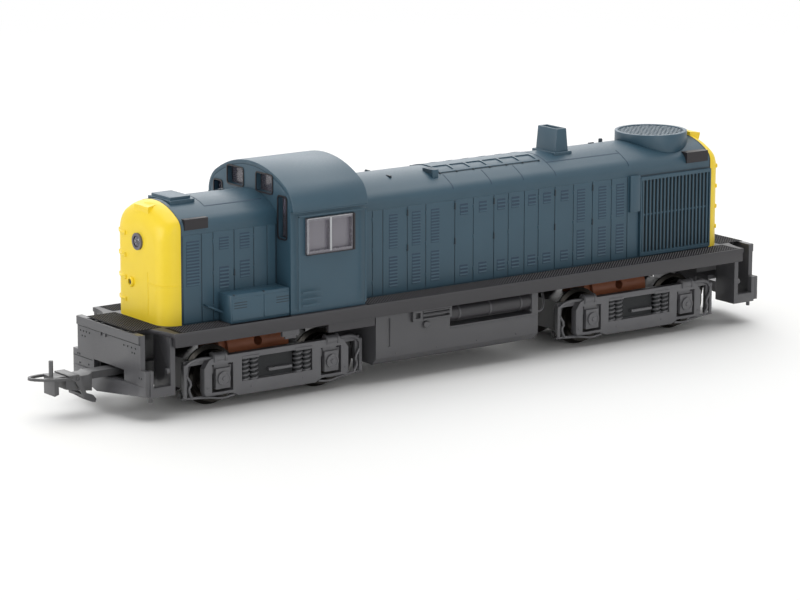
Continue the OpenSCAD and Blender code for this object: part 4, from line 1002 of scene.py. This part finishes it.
def viewCamera():
    # the camera looks along the azimuth and down by the elevation, then rolls about its own axis
    a, e, r = (math.radians(view[k]) for k in ("azimuth", "elevation", "roll"))
    back = np.array([math.sin(a) * math.cos(e), -math.cos(a) * math.cos(e), math.sin(e)])
    right = np.array([math.cos(a), math.sin(a), 0.0])
    up = np.cross(back, right)
    right, up = right * math.cos(r) + up * math.sin(r), up * math.cos(r) - right * math.sin(r)
    data = bpy.data.cameras.new("viewCamera")
    data.lens, data.sensor_width = view["lens"], view["sensor"]
    data.clip_start, data.clip_end = view["clip"]
    camera = bpy.data.objects.new("viewCamera", data)
    rows = np.stack([right, up, back, np.array(view["place"])], axis=1)
    camera.matrix_world = Matrix([*rows.tolist(), [0, 0, 0, 1]])
    bpy.context.scene.collection.objects.link(camera)
    bpy.context.scene.camera = camera


def softLamp(name, place, aim, size, watts):
    # a square area lamp turned towards its aim
    data = bpy.data.lights.new(name, "AREA")
    data.shape, data.size, data.energy = "SQUARE", size, watts
    lamp = bpy.data.objects.new(name, data)
    lamp.location = place
    way = np.array(aim, float) - np.array(place, float)
    lamp.rotation_mode = "QUATERNION"
    lamp.rotation_quaternion = Vector(way).to_track_quat("-Z", "Y")
    bpy.context.scene.collection.objects.link(lamp)


def softWorld(fill):
    # even white fill; the camera, shiny surfaces and glass see the plain white backdrop
    world = bpy.data.worlds.new("softWorld")
    world.use_nodes = True
    tree = world.node_tree
    tree.nodes.clear()
    path = addNode(tree, "ShaderNodeLightPath")
    seen = path.outputs["Is Camera Ray"]
    for kind in ("Is Glossy Ray", "Is Transmission Ray"):
        either = addNode(tree, "ShaderNodeMath", {0: seen, 1: path.outputs[kind]}, operation="MAXIMUM")
        seen = either.outputs[0]
    strength = addNode(tree, "ShaderNodeMix", {"Factor": seen, 2: fill, 3: 1.0}, data_type="FLOAT")
    light = addNode(tree, "ShaderNodeBackground", {"Color": (1, 1, 1, 1),
                                                   "Strength": strength.outputs[0]})
    addNode(tree, "ShaderNodeOutputWorld", {"Surface": light.outputs[0]})
    bpy.context.scene.world = world


floorLook = {"half": 6.0, "paper": "#F7F7F6", "fadeFrom": 0.22, "fadeTo": 0.6}  # metres


def paleFloor():
    # matt paper that keeps the shadows; away from the model the camera sees it fade to plain white
    half = floorLook["half"]
    mesh = bpy.data.meshes.new("paleFloor")
    corners = [(-half, -half, 0), (half, -half, 0), (half, half, 0), (-half, half, 0)]
    mesh.from_pydata(corners, [], [(0, 1, 2, 3)])
    floor = bpy.data.objects.new("paleFloor", mesh)
    material = bpy.data.materials.new("paleBackdropPaper")
    material.use_nodes = True
    tree = material.node_tree
    tree.nodes.clear()
    paper = addNode(tree, "ShaderNodeBsdfPrincipled", {
        "Base Color": linear(floorLook["paper"]), "Roughness": 0.9, "Specular IOR Level": 0.1})
    white = addNode(tree, "ShaderNodeEmission", {"Color": (1, 1, 1, 1), "Strength": 1.0})
    place = addNode(tree, "ShaderNodeTexCoord").outputs["Object"]
    away = addNode(tree, "ShaderNodeVectorMath", {0: place}, operation="LENGTH")
    fade = addNode(tree, "ShaderNodeMapRange", {
        "Value": away.outputs["Value"], "From Min": floorLook["fadeFrom"],
        "From Max": floorLook["fadeTo"]}, interpolation_type="SMOOTHSTEP")
    path = addNode(tree, "ShaderNodeLightPath")
    seen = addNode(tree, "ShaderNodeMath", {0: fade.outputs[0], 1: path.outputs["Is Camera Ray"]},
                   operation="MULTIPLY")
    both = addNode(tree, "ShaderNodeMixShader", {0: seen.outputs[0], 1: paper.outputs[0],
                                                 2: white.outputs[0]})
    addNode(tree, "ShaderNodeOutputMaterial", {"Surface": both.outputs[0]})
    mesh.materials.append(material)
    bpy.context.scene.collection.objects.link(floor)


# lamps: place and aim in metres, side of the square in metres, watts
lamps = {"overheadSoftbox": ((-0.1, -0.2, 1.5), (0, 0, 0), 2.2, 25.0),
         "nearSideSoftbox": ((0.3, 1.3, 0.35), (0, 0, 0.03), 0.6, 3.2),
         "farSideSoftbox": ((-0.6, -1.2, 0.8), (0, 0, 0.04), 1.0, 6.0),
         "noseSideSoftbox": ((1.3, -0.3, 0.2), (0.09, 0, 0.01), 0.6, 5.8)}
worldFill = 0.3
viewCamera()
softWorld(worldFill)
for lampName, lampPlan in lamps.items():
    softLamp(lampName, *lampPlan)
paleFloor()
bpy.context.scene.view_settings.view_transform = "Standard"
print("stage 11: camera, light and floor")
